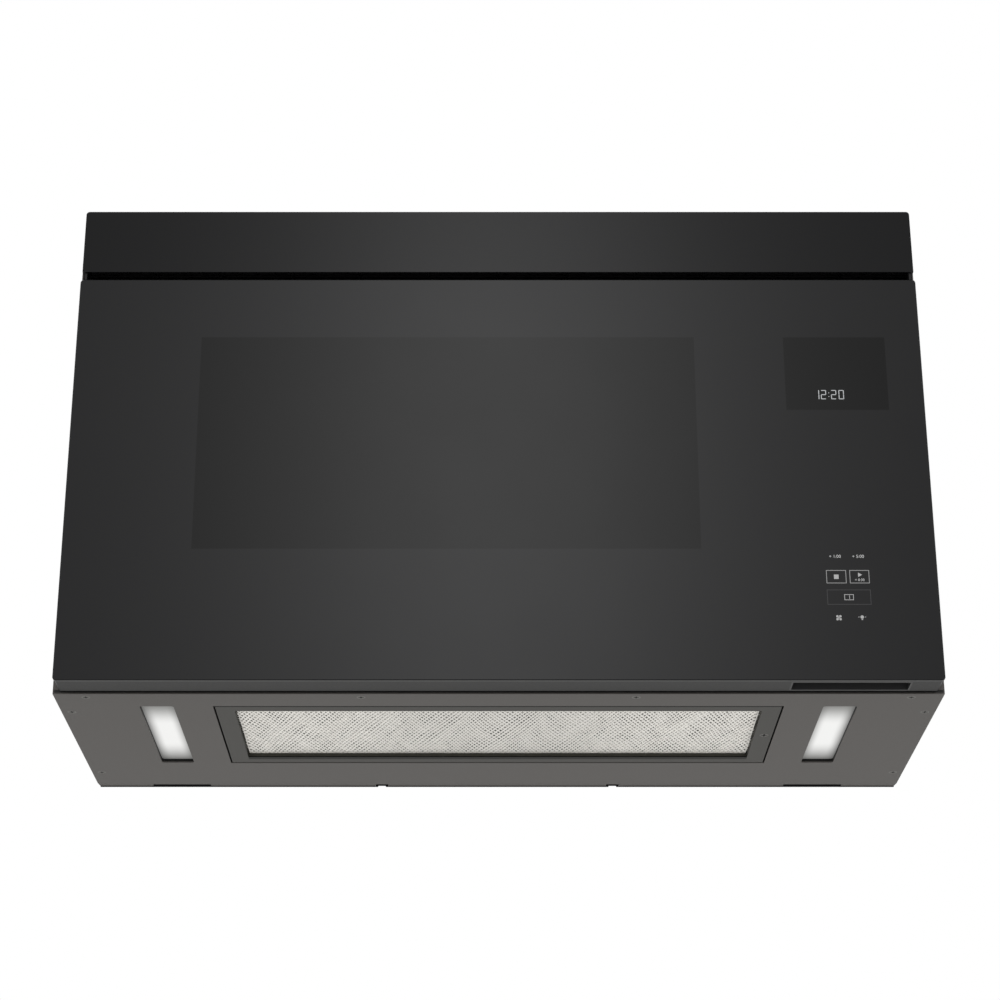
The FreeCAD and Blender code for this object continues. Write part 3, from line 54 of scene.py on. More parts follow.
bl_info = {
    "name": "Hood microwave finishes",
    "version": (1, 0, 0),
    "blender": (4, 5, 0),
    "location": "3D View > Sidebar > Microwave",
    "description": "Finishes and fine pieces of a hood microwave on its packed frame",
    "category": "Object",
}

MM = 0.001

# Places on the front that follow the photograph, in millimetres of the frame
window_x = (-263.3, 173.7)
window_z = (118.3, 318.5)
display_x = (252.9, 343.0)
display_z = (248.1, 318.4)
clock_right = 304.1
clock_z = (258.3, 267.1)
key_left_x = (279.35, 296.4)
key_right_x = (299.25, 316.1)
key_z = (86.9, 98.8)
open_key_x = (279.1, 316.4)
open_key_z = (67.7, 81.2)
one_label_x, five_label_x = 287.7, 307.5
time_label_z = 111.2
half_label_z = 89.9
stop_sign_z = (90.8, 94.8)
start_sign_z = 94.6
open_sign = (297.7, 74.4)
fan_sign_x, lamp_sign_x = 288.1, 307.8
icon_label_z = 56.0

# Prints on the glass, in millimetres
print_lift = 0.05
print_thickness = 0.04
time_label_height = 2.9
half_label_height = 2.3
font_ratio = 1.38
start_sign_radius = 2.3
icon_size = 1.25

# Clock figures, in millimetres: each number with its distance before the last one
clock_digits = ((1, 21.7), (2, 15.6), (2, 6.7), (0, 0.0))
digit_width, digit_line = 4.7, 0.72
colon_before = 8.6

# Heights where the paint changes to painted shade, in millimetres above the base's lower face: above the
# first two on the inner faces of the base and the filter frame, below the last on the foot of the front
# sheet
base_inside_z = 1.25
frame_inside_z = 1.55
front_foot_z = 3.6

# Points this near the lowest plane of the filter frame belong to its foot, in millimetres
frame_foot = 0.1

# Pitch of the drawn holes of the window's screen; real ones are about 1.5 mm apart, and 3 mm lets them show
screen_pitch = 3.0

# Mesh opening of the filter frame, in millimetres
opening_x = (-229.0, 229.0)
opening_y = (-78.2, 65.5)

# Strands of the filter's weave, in millimetres; their spacing is uneven by a share of one cell,
# and what is longer than straight_length is cut up, so that it can bend
strand_thickness = 0.3
edge_strip = 0.9
edge_inset = 0.4
uneven_share, uneven_step = 0.06, 2.4
strand_rise = 0.16
strand_cuts = 7
straight_length = 4

# Waves of the strands, as shares of each other; unlike lengths keep a stretch from repeating the next
sway_length, quick_along, quick_across, quick_share = 2.6, 2.3, 0.4, 0.5
rise_across, rise_along = 0.85, 0.6

# Painted shade on the filter, greyest in its middle, which the lamps at its ends light less; in millimetres
# from the middle: full inside the first, none past the second
middle_shade_x = (40, 150)

# Dark crosses on the screw heads, a painted shade for their cross recesses, in millimetres
recess_arm, recess_width, recess_depth, recess_radius = 2.2, 1.1, 0.1, 1.2
recess_lift = 0.06

# Points of one screw head, in millimetres: this near its lowest plane, and this near each other
head_flat, head_reach = 0.01, 12

# Dark clips in the narrow notches at the lower rear edge, a painted shade that closes most of each notch, in
# millimetres
clip_centre_x = 109.8
clip_width = 12.1
clip_z = (0.35, 1.95)
clip_leg = 2.4

# Hem under the rear sheet, between the notches, in millimetres
hem_x = ((-378.2, -115.95), (-103.65, 103.65), (115.95, 378.2))
hem_drop = 0.7

# Thickness of clips and hem, and how far their middle stands inside the rear, in millimetres
rear_thickness = 0.9
rear_inset = 0.5

# Vent holes of the oven's side walls, drawn as dark discs of painted shade, in millimetres: radius, steps,
# distance from the top and to the wall
vent_radius = 1.5
vent_step_y, vent_step_z = 5.0, 4.4
vent_top = 30.0
vent_wall_gap = 0.55


def linear(code):
    """Linear colour of an sRGB hex code."""
    channels = [int(code[i:i + 2], 16) / 255 for i in (1, 3, 5)]
    return [c / 12.92 if c <= 0.04045 else ((c + 0.055) / 1.055) ** 2.4 for c in channels]


def shade(colour, factor):
    """A colour made darker or lighter."""
    return [c * factor for c in colour]


def opaque(colour):
    """A colour with full alpha, as a socket takes it."""
    return (*colour, 1.0)


def add(tree, kind, inputs=None, **settings):
    """Add a node with its settings, and set or link its inputs."""
    node = tree.nodes.new(kind)
    for key, value in settings.items():
        setattr(node, key, value)
    for key, value in (inputs or {}).items():
        if isinstance(value, bpy.types.NodeSocket):
            tree.links.new(value, node.inputs[key])
        else:
            node.inputs[key].default_value = value
    return node


def surface(name, values):
    """New material with plain shader values; gives its tree, shader and object coordinates."""
    material = bpy.data.materials.new(name)
    material.use_nodes = True
    tree = material.node_tree
    shader = tree.nodes["Principled BSDF"]
    for key, value in values.items():
        shader.inputs[key].default_value = value
    place = add(tree, "ShaderNodeTexCoord").outputs["Object"]
    return material, tree, shader, place


def split(tree, place):
    """The three coordinates of a place."""
    node = add(tree, "ShaderNodeSeparateXYZ", {0: place})
    return [node.outputs[axis] for axis in "XYZ"]


def calc(tree, operation, *values):
    """Result of one sum or comparison."""
    return add(tree, "ShaderNodeMath", dict(enumerate(values)), operation=operation).outputs[0]


def blend(tree, factor, first, second):
    """Mix of two colours, each a plain one or a socket."""
    pair = [c if isinstance(c, bpy.types.NodeSocket) else opaque(c) for c in (first, second)]
    mix = add(tree, "ShaderNodeMix", {"Factor": factor, "A": pair[0], "B": pair[1]}, data_type="RGBA")
    return mix.outputs["Result"]


def spread(tree, factor, low, high):
    """A factor of 0 to 1, stretched to a range."""
    node = add(tree, "ShaderNodeMapRange", {"Value": factor, "To Min": low, "To Max": high})
    return node.outputs["Result"]


def fade(tree, value, start, end, levels):
    """Smooth change from one level to another between two values."""
    node = add(tree, "ShaderNodeMapRange", {"Value": value, "From Min": start, "From Max": end,
                                            "To Min": levels[0], "To Max": levels[1]},
               interpolation_type="SMOOTHSTEP")
    return node.outputs["Result"]


def paint(tree, shader, colour):
    """Make a socket the colour of the surface."""
    tree.links.new(colour, shader.inputs["Base Color"])


def emboss(tree, shader, height, depth_mm, **settings):
    """Raise the surface by a factor."""
    bump = add(tree, "ShaderNodeBump", {"Height": height, "Distance": depth_mm * MM}, **settings)
    tree.links.new(bump.outputs["Normal"], shader.inputs["Normal"])


def mottle(tree, shader, place, colours, grain_mm, roughness, bump_mm=0.0):
    """Cloudy colour and roughness, with an optional raised grain, from one noise."""
    noise = add(tree, "ShaderNodeTexNoise", {"Vector": place, "Scale": 1 / (grain_mm * MM), "Detail": 3.0})
    cloud = noise.outputs["Fac"]
    colour = blend(tree, cloud, *colours)
    paint(tree, shader, colour)
    tree.links.new(spread(tree, cloud, *roughness), shader.inputs["Roughness"])
    if bump_mm:
        emboss(tree, shader, cloud, bump_mm)
    return colour


def panel_mask(tree, across, along, span_across, span_along):
    """Factor of 1 inside a rectangle, given in millimetres."""
    masks = [calc(tree, "COMPARE", socket, sum(span) / 2 * MM, (span[1] - span[0]) / 2 * MM)
             for socket, span in ((across, span_across), (along, span_along))]
    return calc(tree, "MULTIPLY", *masks)


def dot_grid(tree, across, along, pitch_mm, level):
    """Factor of 1 inside the round holes of a perforated sheet."""
    waves = [calc(tree, "COSINE", calc(tree, "MULTIPLY", socket, 2 * math.pi / (pitch_mm * MM)))
             for socket in (across, along)]
    return calc(tree, "GREATER_THAN", calc(tree, "ADD", *waves), level)


def printed_glass(look):
    """Float glass printed black behind: near black, with a soft broad sheen."""
    material, tree, shader, place = surface("black_printed_float_glass", {
        "Specular IOR Level": look.glass_gloss, "IOR": 1.5})
    x, _, z = split(tree, place)
    rough = look.glass_roughness
    front = mottle(tree, shader, place, (look.glass_colour, shade(look.glass_colour, 1.04)),
                   grain_mm=60, roughness=(rough - 0.01, rough + 0.01))
    # The window shows a perforated screen behind the glass; its holes are drawn as faint darker dots, a
    # painted shade for the dark seen through them
    holes = dot_grid(tree, x, z, screen_pitch, level=0.6)
    screen = blend(tree, holes, look.window_colour, shade(look.window_colour, 0.8))
    front = blend(tree, panel_mask(tree, x, z, window_x, window_z), front, screen)
    front = blend(tree, panel_mask(tree, x, z, display_x, display_z), front, look.display_colour)
    paint(tree, shader, front)
    return material


def coated_trim(look):
    """Steel trim with a smooth black powder coat: even, low sheen."""
    material, tree, shader, place = surface("black_powder_coated_steel", {
        "Specular IOR Level": look.trim_gloss})
    rough = look.trim_roughness
    mottle(tree, shader, place, (look.trim_colour, shade(look.trim_colour, 1.15)),
           grain_mm=1.6, roughness=(rough, rough + 0.03), bump_mm=0.004)
    return material


def satin_coat(tree, shader, place, colour):
    """Stove enamel with a fine orange peel."""
    return mottle(tree, shader, place, (shade(colour, 0.96), shade(colour, 1.05)),
                  grain_mm=2.2, roughness=(0.42, 0.52), bump_mm=0.006)


def satin_paint(name, colour, gloss, shaded_above_mm=None):
    """Stove-enamelled sheet: satin; its inner faces above a given height may be painted near black, a
    painted shade.
    """
    material, tree, shader, place = surface(name, {"Specular IOR Level": gloss})
    coat = satin_coat(tree, shader, place, colour)
    if shaded_above_mm is not None:
        # Painted shade: above the given height the inner faces are near black
        inner = calc(tree, "GREATER_THAN", split(tree, place)[2], shaded_above_mm * MM)
        paint(tree, shader, blend(tree, inner, coat, linear("#0b0b0b")))
    return material


def filter_paint(look):
    """Enamelled filter frame: satin below, with painted shade in the gap round it, on the walls and lip of
    its opening and along its front edge.
    """
    material, tree, shader, place = surface("grey_filter_paint", {"Specular IOR Level": 0.05})
    painted_shade = linear("#0b0b0b")
    coat = satin_coat(tree, shader, place, look.frame_colour)
    x, y, z = split(tree, place)
    low, high = (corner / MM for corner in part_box("filter_mesh"))
    beside_mesh = panel_mask(tree, x, y, (low.x, high.x), (low.y, high.y))
    # Painted shade on the walls: near black round the frame, dark grey beside the mesh
    wall = blend(tree, beside_mesh, painted_shade, linear("#3b3a35"))
    # The lip behind the mesh turns up into the opening and lies in its shade
    lip = panel_mask(tree, x, y, opening_x, (opening_y[0], opening_y[1] + look.lip_shade / MM))
    coat = blend(tree, lip, coat, linear("#1f1f1d"))
    coat = blend(tree, calc(tree, "GREATER_THAN", z, frame_inside_z * MM), coat, wall)
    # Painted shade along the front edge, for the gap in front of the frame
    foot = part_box("filter_frame")[0].z + frame_foot * MM
    front = min(v.co.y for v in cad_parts["filter_frame"].data.vertices if v.co.z < foot)
    edge = calc(tree, "LESS_THAN", y, front + look.edge_shade)
    paint(tree, shader, blend(tree, edge, coat, painted_shade))
    return material


def hard_coat(tree, shader, place, first, second):
    """Hard enamel between two tones."""
    return mottle(tree, shader, place, (linear(first), linear(second)),
                  grain_mm=2.0, roughness=(0.36, 0.46), bump_mm=0.005)


def surround_enamel(beside):
    """Enamelled front sheet: dark behind the door, with the case paint on the strips beside it."""
    material, tree, shader, place = surface("dark_front_enamel", {"Specular IOR Level": 0.3})
    x, _, z = split(tree, place)
    low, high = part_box("door_glass")
    coat = hard_coat(tree, shader, place, "#1d1d1e", "#232324")
    whole_height = (-50, 500)
    behind = panel_mask(tree, x, z, (low.x / MM, high.x / MM), whole_height)
    coat = blend(tree, behind, beside, coat)
    # Painted shade: the foot of the sheet, just above the base, is nearly black over the full width, for the
    # shaded gap below the door
    foot = calc(tree, "LESS_THAN", z, front_foot_z * MM)
    paint(tree, shader, blend(tree, foot, coat, linear("#0a0a0a")))
    return material


def random_cells(tree, place, size_mm):
    """Random tones, one set for each cell of a crystal or fleck."""
    cells = add(tree, "ShaderNodeTexVoronoi", {"Vector": place, "Scale": 1 / (size_mm * MM)})
    return add(tree, "ShaderNodeSeparateColor", {0: cells.outputs["Color"]}).outputs


def zinc_sheet():
    """Galvanised sheet: cool grey metal with crystal spangle about a centimetre across."""
    material, tree, shader, place = surface("galvanised_steel_sheet", {"Metallic": 1.0})
    tone = random_cells(tree, place, size_mm=11)
    paint(tree, shader, blend(tree, tone[0], linear("#a2a6a8"), linear("#b3b6b8")))
    tree.links.new(spread(tree, tone[1], 0.34, 0.5), shader.inputs["Roughness"])
    return material


def drawn_metal(name, colour, line_mm, roughness):
    """Bare metal with fine lines left by drawing or rolling."""
    material, tree, shader, place = surface(name, {"Metallic": 1.0})
    stretched = add(tree, "ShaderNodeMapping", {"Vector": place, "Scale": (0.05, 1.0, 1.0)})
    mottle(tree, shader, stretched.outputs[0], (shade(colour, 0.86), colour),
           line_mm, roughness, bump_mm=0.004)
    return material


def moulded(name, colour, roughness=(0.42, 0.55), gloss=0.4):
    """Moulded plastic with the fine spark-eroded grain of its tool."""
    material, tree, shader, place = surface(name, {"Specular IOR Level": gloss})
    mottle(tree, shader, place, (shade(colour, 0.92), shade(colour, 1.06)),
           grain_mm=0.9, roughness=roughness, bump_mm=0.012)
    return material


def speckled_enamel():
    """Fired oven enamel: grey with a fine pale and dark fleck under a gloss."""
    material, tree, shader, place = surface("speckled_oven_enamel", {
        "Specular IOR Level": 0.5, "Roughness": 0.22})
    fleck = add(tree, "ShaderNodeValToRGB", {0: random_cells(tree, place, size_mm=1.8)[0]})
    stops = fleck.color_ramp.elements
    stops[0].color, stops[1].color = opaque(linear("#7c7d7f")), opaque(linear("#a6a8aa"))
    stops[0].position, stops[1].position = 0.08, 0.97
    middle = stops.new(0.5)
    middle.color = opaque(linear("#8f9193"))
    paint(tree, shader, fleck.outputs["Color"])
    return material


def glass_ceramic():
    """White glass ceramic plate: bright, hard and almost plain."""
    material, tree, shader, place = surface("white_glass_ceramic", {"Specular IOR Level": 0.5, "IOR": 1.53})
    mottle(tree, shader, place, (linear("#d9d7d0"), linear("#e4e2dc")), grain_mm=3, roughness=(0.12, 0.2))
    return material


def perforated_panel():
    """Dark enamelled door sheet; its middle is the punched screen of the window."""
    material, tree, shader, place = surface("punched_enamelled_sheet", {"Specular IOR Level": 0.4})
    x, _, z = split(tree, place)
    plain = hard_coat(tree, shader, place, "#2b2b2d", "#333335")
    holes = dot_grid(tree, x, z, screen_pitch, level=0.5)
    inside = calc(tree, "MULTIPLY", holes, panel_mask(tree, x, z, window_x, window_z))
    # The holes are drawn near black: painted shade for the dark seen through them
    paint(tree, shader, blend(tree, inside, plain, linear("#060606")))
    return material


def clear_film():
    """Clear polycarbonate film over the screen: see-through with a light gloss."""
    material, tree, shader, place = surface("clear_polycarbonate_film", {
        "IOR": 1.58, "Transmission Weight": 0.92, "Base Color": opaque(linear("#c9cdce"))})
    noise = add(tree, "ShaderNodeTexNoise", {"Vector": place, "Scale": 1 / (25 * MM)})
    tree.links.new(spread(tree, noise.outputs["Fac"], 0.05, 0.12), shader.inputs["Roughness"])
    return material


def circuit_board():
    """Green solder mask over fine copper tracks."""
    material, tree, shader, place = surface("fibreglass_circuit_board", {
        "Specular IOR Level": 0.5, "Roughness": 0.35})
    tracks = add(tree, "ShaderNodeTexBrick", {
        "Vector": place, "Color1": opaque(linear("#1f5a38")), "Color2": opaque(linear("#24643f")),
        "Mortar": opaque(linear("#6d8f4a")), "Scale": 1 / (14 * MM), "Mortar Size": 0.05})
    paint(tree, shader, tracks.outputs["Color"])
    return material


def layers(tree, place, pitch_mm, axis):
    """Wave that runs through a stack of wires or sheets along an axis."""
    wave = add(tree, "ShaderNodeTexWave", {"Vector": place, "Scale": 1 / (2 * pitch_mm * MM)},
               bands_direction=axis)
    return wave.outputs["Fac"]


def wound_wire():
    """Enamelled copper wire in level turns a little under a millimetre thick."""
    material, tree, shader, place = surface("enamelled_copper_wire", {"Metallic": 0.9, "Roughness": 0.3})
    turns = layers(tree, place, pitch_mm=0.9, axis="Z")
    # Darker between the turns: painted shade in the grooves between the round wires
    paint(tree, shader, blend(tree, turns, linear("#4a2413"), linear("#a8623a")))
    emboss(tree, shader, turns, depth_mm=0.2)
    return material


def laminated_iron():
    """Stack of varnished iron sheets, seen as fine dark lines."""
    material, tree, shader, place = surface("laminated_core_iron", {"Metallic": 0.7, "Roughness": 0.5})
    sheets = layers(tree, place, pitch_mm=1.4, axis="Y")
    paint(tree, shader, blend(tree, sheets, linear("#26241f"), linear("#5b564c")))
    return material


def charcoal_pad():
    """Pressed charcoal granules behind a plastic lattice."""
    material, tree, shader, place = surface("charcoal_granules", {
        "Specular IOR Level": 0.2, "Roughness": 0.85})
    grains = add(tree, "ShaderNodeTexVoronoi", {"Vector": place, "Scale": 1 / (3 * MM)}).outputs["Distance"]
    # Darker between the granules: painted shade in the gaps between them
    paint(tree, shader, blend(tree, grains, linear("#1d1d1e"), linear("#0a0a0a")))
    emboss(tree, shader, grains, depth_mm=0.6, invert=True)
    return material


def mesh_pad(look):
    """Deeper layers of the aluminium filter, seen between the front strands, with darker holes and dark at
    both ends: painted shade.
    """
    material, tree, shader, place = surface("packed_aluminium_mesh", {"Metallic": 0.6})
    turned = add(tree, "ShaderNodeMapping", {"Vector": place, "Rotation": (0, 0, math.radians(12))})
    across, along, _ = split(tree, turned.outputs[0])
    holes = dot_grid(tree, across, along, pitch_mm=look.cell_width / MM * 0.8, level=0.5)
    plain = mottle(tree, shader, place, (linear("#8b8984"), linear("#a5a29c")),
                   grain_mm=2.4, roughness=(0.4, 0.6))
    # The holes are drawn darker: painted shade for the depth behind them
    packed = blend(tree, holes, plain, linear("#7b7974"))
    x, y, _ = split(tree, place)
    # Both ends are painted shade, beside the frame's opening
    ends = (opening_x[0] + look.side_shade / MM, opening_x[1] - look.side_shade / MM)
    whole_depth = (-200, 200)
    lit = panel_mask(tree, x, y, ends, whole_depth)
    paint(tree, shader, blend(tree, lit, linear("#1c1c1a"), packed))
    return material


def strand_metal(name, colour):
    """Bare aluminium strands: pale, with a soft uneven shine, and greyer in the middle of the filter, a
    painted shade where the lamps at its ends light it less.
    """
    material, tree, shader, place = surface(name, {"Metallic": 0.35})
    plain = mottle(tree, shader, place, (shade(colour, 0.52), shade(colour, 1.14)),
                   grain_mm=2.6, roughness=(0.38, 0.55))
    away = calc(tree, "ABSOLUTE", split(tree, place)[0])
    # Painted shade: the middle of the filter is greyer, as the lamps at its ends light it less
    middle_shade = fade(tree, away, middle_shade_x[0] * MM, middle_shade_x[1] * MM, levels=(0.5, 0.0))
    paint(tree, shader, blend(tree, middle_shade, plain, shade(colour, 0.7)))
    return material


def lit_lens(look, node):
    """Frosted lens lit from behind: white in the middle, fading towards its ends."""
    low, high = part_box(node)
    material, tree, shader, place = surface("frosted_lit_lens", {
        "Specular IOR Level": 0.3, "Roughness": 0.5, "Base Color": opaque(linear("#5c5c5a")),
        "Emission Color": opaque(linear("#fffffe"))})
    middle, half = (low + high) / 2, (high - low) / 2
    x, y, _ = split(tree, place)
    inward = -math.copysign(look.glow_inward, middle.x)
    shares = []
    # The light ends a little past the rim, which cuts it off
    for socket, axis, shift, reach, end in ((x, 0, inward, look.glow_across, 1.08),
                                            (y, 1, look.glow_shift, look.glow_along, 1.03)):
        away = calc(tree, "ABSOLUTE", calc(tree, "SUBTRACT", socket, middle[axis] + shift))
        shares.append(fade(tree, away, half[axis] * reach, half[axis] * end, levels=(1.0, 0.0)))
    level = spread(tree, calc(tree, "MULTIPLY", *shares), look.glow_edge, look.glow_middle)
    tree.links.new(level, shader.inputs["Emission Strength"])
    return material


def white_print(name, code, glow=0.0):
    """Pale ink or lit segment on the glass."""
    colour = linear(code)
    material, tree, shader, place = surface(name, {
        "Specular IOR Level": 0.2, "Emission Strength": glow, "Emission Color": opaque(colour)})
    mottle(tree, shader, place, (colour, shade(colour, 0.9)), grain_mm=0.5, roughness=(0.5, 0.6))
    return material


def dress(material, *nodes):
    """Give CAD nodes a material."""
    for name in nodes:
        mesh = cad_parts[name].data
        mesh.materials.clear()
        mesh.materials.append(material)


def place_piece(name, shape, material, body):
    """Turn a bmesh into a piece that rides on a body."""
    mesh = bpy.data.meshes.new(name)
    bmesh.ops.recalc_face_normals(shape, faces=shape.faces)
    shape.to_mesh(mesh)
    shape.free()
    mesh.materials.append(material)
    piece = bpy.data.objects.new(name, mesh)
    bpy.context.scene.collection.objects.link(piece)
    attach(piece, body)


def bar(shape, start, end, width, height):
    """Straight bar with a rectangular section between two points."""
    run = end - start
    turn = run.to_track_quat("X", "Z").to_matrix().to_4x4()
    size = Matrix.Diagonal((run.length, width, height, 1.0))
    bmesh.ops.create_cube(shape, size=1.0, matrix=Matrix.Translation((start + end) / 2) @ turn @ size)


def front_plate(shape, span_x, span_z):
    """Thin rectangle printed on the front glass, given in millimetres."""
    y = cad_box[0].y / MM - print_lift
    middle = Vector((sum(span_x) / 2, y, sum(span_z) / 2)) * MM
    size = Vector((span_x[1] - span_x[0], print_thickness, span_z[1] - span_z[0])) * MM
    bmesh.ops.create_cube(shape, size=1.0, matrix=Matrix.Translation(middle) @ Matrix.Diagonal((*size, 1.0)))


def front_frame(shape, span_x, span_z, line):
    """Thin outline printed on the front glass."""
    front_plate(shape, span_x, (span_z[0], span_z[0] + line))
    front_plate(shape, span_x, (span_z[1] - line, span_z[1]))
    front_plate(shape, (span_x[0], span_x[0] + line), (span_z[0] + line, span_z[1] - line))
    front_plate(shape, (span_x[1] - line, span_x[1]), (span_z[0] + line, span_z[1] - line))


def front_disc(shape, centre, radius, sides=24, degrees=0):
    """Thin disc printed on the front glass, given in millimetres and turned clockwise."""
    at = Vector((centre[0], cad_box[0].y / MM - print_lift, centre[1])) * MM
    turn = Matrix.Rotation(math.radians(degrees), 4, "Y") @ Matrix.Rotation(math.radians(90), 4, "X")
    bmesh.ops.create_circle(shape, cap_ends=True, segments=sides, radius=radius * MM,
                            matrix=Matrix.Translation(at) @ turn)


def digit(shape, number, left, bottom, width, height, line):
    """Seven-segment figure on the front glass, in millimetres."""
    lit = ("abcdef", "bc", "abged", "abgcd", "fgbc", "afgcd", "afgedc", "abc", "abcdefg", "abcdfg")[number]
    right, top, middle = left + width, bottom + height, bottom + height / 2
    gap, inset = line * 0.2, line * 0.6
    flat = (left + inset, right - inset)
    spots = {
        "a": (flat, (top - line, top)),
        "g": (flat, (middle - line / 2, middle + line / 2)),
        "d": (flat, (bottom, bottom + line)),
        "b": ((right - line, right), (middle + gap, top - gap)),
        "c": ((right - line, right), (bottom + gap, middle - gap)),
        "e": ((left, left + line), (bottom + gap, middle - gap)),
        "f": ((left, left + line), (middle + gap, top - gap)),
    }
    for name in lit:
        front_plate(shape, *spots[name])


def small_figures(name, text, centre, height, material):
    """Small printed figures, made a mesh and set on the front glass."""
    curve = bpy.data.curves.new(name, "FONT")
    curve.body = text
    curve.size = height * MM * font_ratio
    curve.align_x, curve.align_y = "CENTER", "CENTER"
    holder = bpy.data.objects.new(name, curve)
    bpy.context.scene.collection.objects.link(holder)
    bpy.context.view_layer.update()
    mesh = bpy.data.meshes.new_from_object(holder)
    bpy.data.objects.remove(holder)
    at = Vector((centre[0] * MM, cad_box[0].y - print_lift * MM, centre[1] * MM))
    mesh.transform(Matrix.Translation(at) @ Matrix.Rotation(math.radians(90), 4, "X"))
    mesh.materials.clear()
    mesh.materials.append(material)
    piece = bpy.data.objects.new(name, mesh)
    bpy.context.scene.collection.objects.link(piece)
    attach(piece, "door")


def colour_setting(name, description, code):
    """Colour in a group of settings."""
    return FloatVectorProperty(name=name, description=description, subtype="COLOR", default=linear(code))


def length_setting(name, description, metres):
    """Length in a group of settings."""
    return FloatProperty(name=name, description=description, default=metres, unit="LENGTH")


def share_setting(name, description, share):
    """Share of 0 to 1 in a group of settings."""
    return FloatProperty(name=name, description=description, default=share, min=0, max=1)


def place_setting(name, description, place):
    """Place in a group of settings."""
    return FloatVectorProperty(name=name, description=description, default=place, subtype="TRANSLATION")


class DoorSettings(bpy.types.PropertyGroup):
    """Colours and gloss of the front."""
    glass_colour: colour_setting("Glass", "Colour of the printed glass", "#131314")
    window_colour: colour_setting("Window", "Colour of the glass over the screen", "#040404")
    display_colour: colour_setting("Display", "Colour of the dark display", "#020202")
    trim_colour: colour_setting("Trim", "Colour of the top trim", "#0c0c0d")
    glass_gloss: share_setting("Glass gloss", "Strength of the glass's sheen", 0.145)
    trim_gloss: share_setting("Trim gloss", "Strength of the trim's sheen", 0.11)
    glass_roughness: share_setting("Glass sheen width", "How far the glass spreads a reflection", 0.32)
    trim_roughness: share_setting("Trim sheen width", "How far the trim spreads a reflection", 0.28)
    print_line: length_setting("Key outline", "Width of the printed key outlines", 0.00055)


class UndersideSettings(bpy.types.PropertyGroup):
    """Paint, filter and lights of the underside."""
    paint_colour: colour_setting("Underside", "Colour of the painted underside", "#4d4a48")
    frame_colour: colour_setting("Filter frame", "Colour of the painted filter frame", "#494846")
    # The filter frame's dark front edge is painted shade, for the gap in front of it
    edge_shade: length_setting("Filter edge", "Width of the filter frame's dark rolled front edge", 0.0020)
    lip_shade: length_setting("Filter lip", "Width of the shaded lip behind the mesh", 0.0064)
    side_shade: length_setting("Mesh ends", "Width of the shaded strip at each end of the mesh", 0.0012)
    strand_colour: colour_setting("Strands", "Colour of the filter strands", "#fffcf7")
    back_colour: colour_setting("Back strands", "Colour of the strands of the layer behind", "#dddad4")
    cell_width: length_setting("Cell width", "Width of one diamond of the filter's mesh", 0.0040)
    cell_length: length_setting("Cell length", "Length of one diamond of the filter's mesh", 0.0100)
    strand_width: length_setting("Strand width", "Width of one filter strand", 0.00165)
    strand_sway: length_setting("Strand sway", "How far the strands bend to a side", 0.0009)
    glow_middle: share_setting("Light", "Brightness of the middle of a lens", 0.74)
    glow_edge: share_setting("Light at the rim", "Brightness of a lens at its rim", 0.06)
    glow_across: share_setting("Light width", "Share of the width that is fully lit", 0.3)
    glow_along: share_setting("Light length", "Share of the length that is fully lit", 0.3)
    glow_shift: length_setting("Light place", "How far the light stands behind the middle", 0.0055)
    glow_inward: length_setting("Light lean", "How far the light leans towards the filter", 0.0004)


class StageSettings(bpy.types.PropertyGroup):
    """Camera and light of the studio."""
    lens: FloatProperty(name="Lens", description="Focal length on a 36 mm sensor", default=92.829, min=10)
    tilt: FloatProperty(name="Tilt", description="Upward tilt of the camera", default=math.radians(24.2776),
                        subtype="ANGLE")
    camera_place: place_setting("Camera", "Where the camera stands", (-0.0118, -2.2374, -0.6585))
    shift: FloatVectorProperty(name="Shift", description="Shift of the picture, across and up", size=2,
                               default=(0.0152, -0.1196))
    floor_level: length_setting("Floor", "Height of the studio floor", -2.7)
    floor_reach: length_setting("Floor reach", "Distance from the floor's middle to its edge", 40.0)
    softbox_power: FloatProperty(name="Softbox", description="Power of the softbox in watts", default=26.0)
    softbox_place: place_setting("Softbox place", "Where the softbox stands", (0.0, -3.0, 1.33))
    softbox_aim: place_setting("Softbox aim", "What the softbox points at", (0.0, -0.16, 0.2))
    softbox_size: FloatVectorProperty(name="Softbox size", description="Width and height of the softbox",
                                      size=2, default=(0.45, 1.6))
    world_level: FloatProperty(name="Sky", description="Strength of the white surroundings", default=1.0)


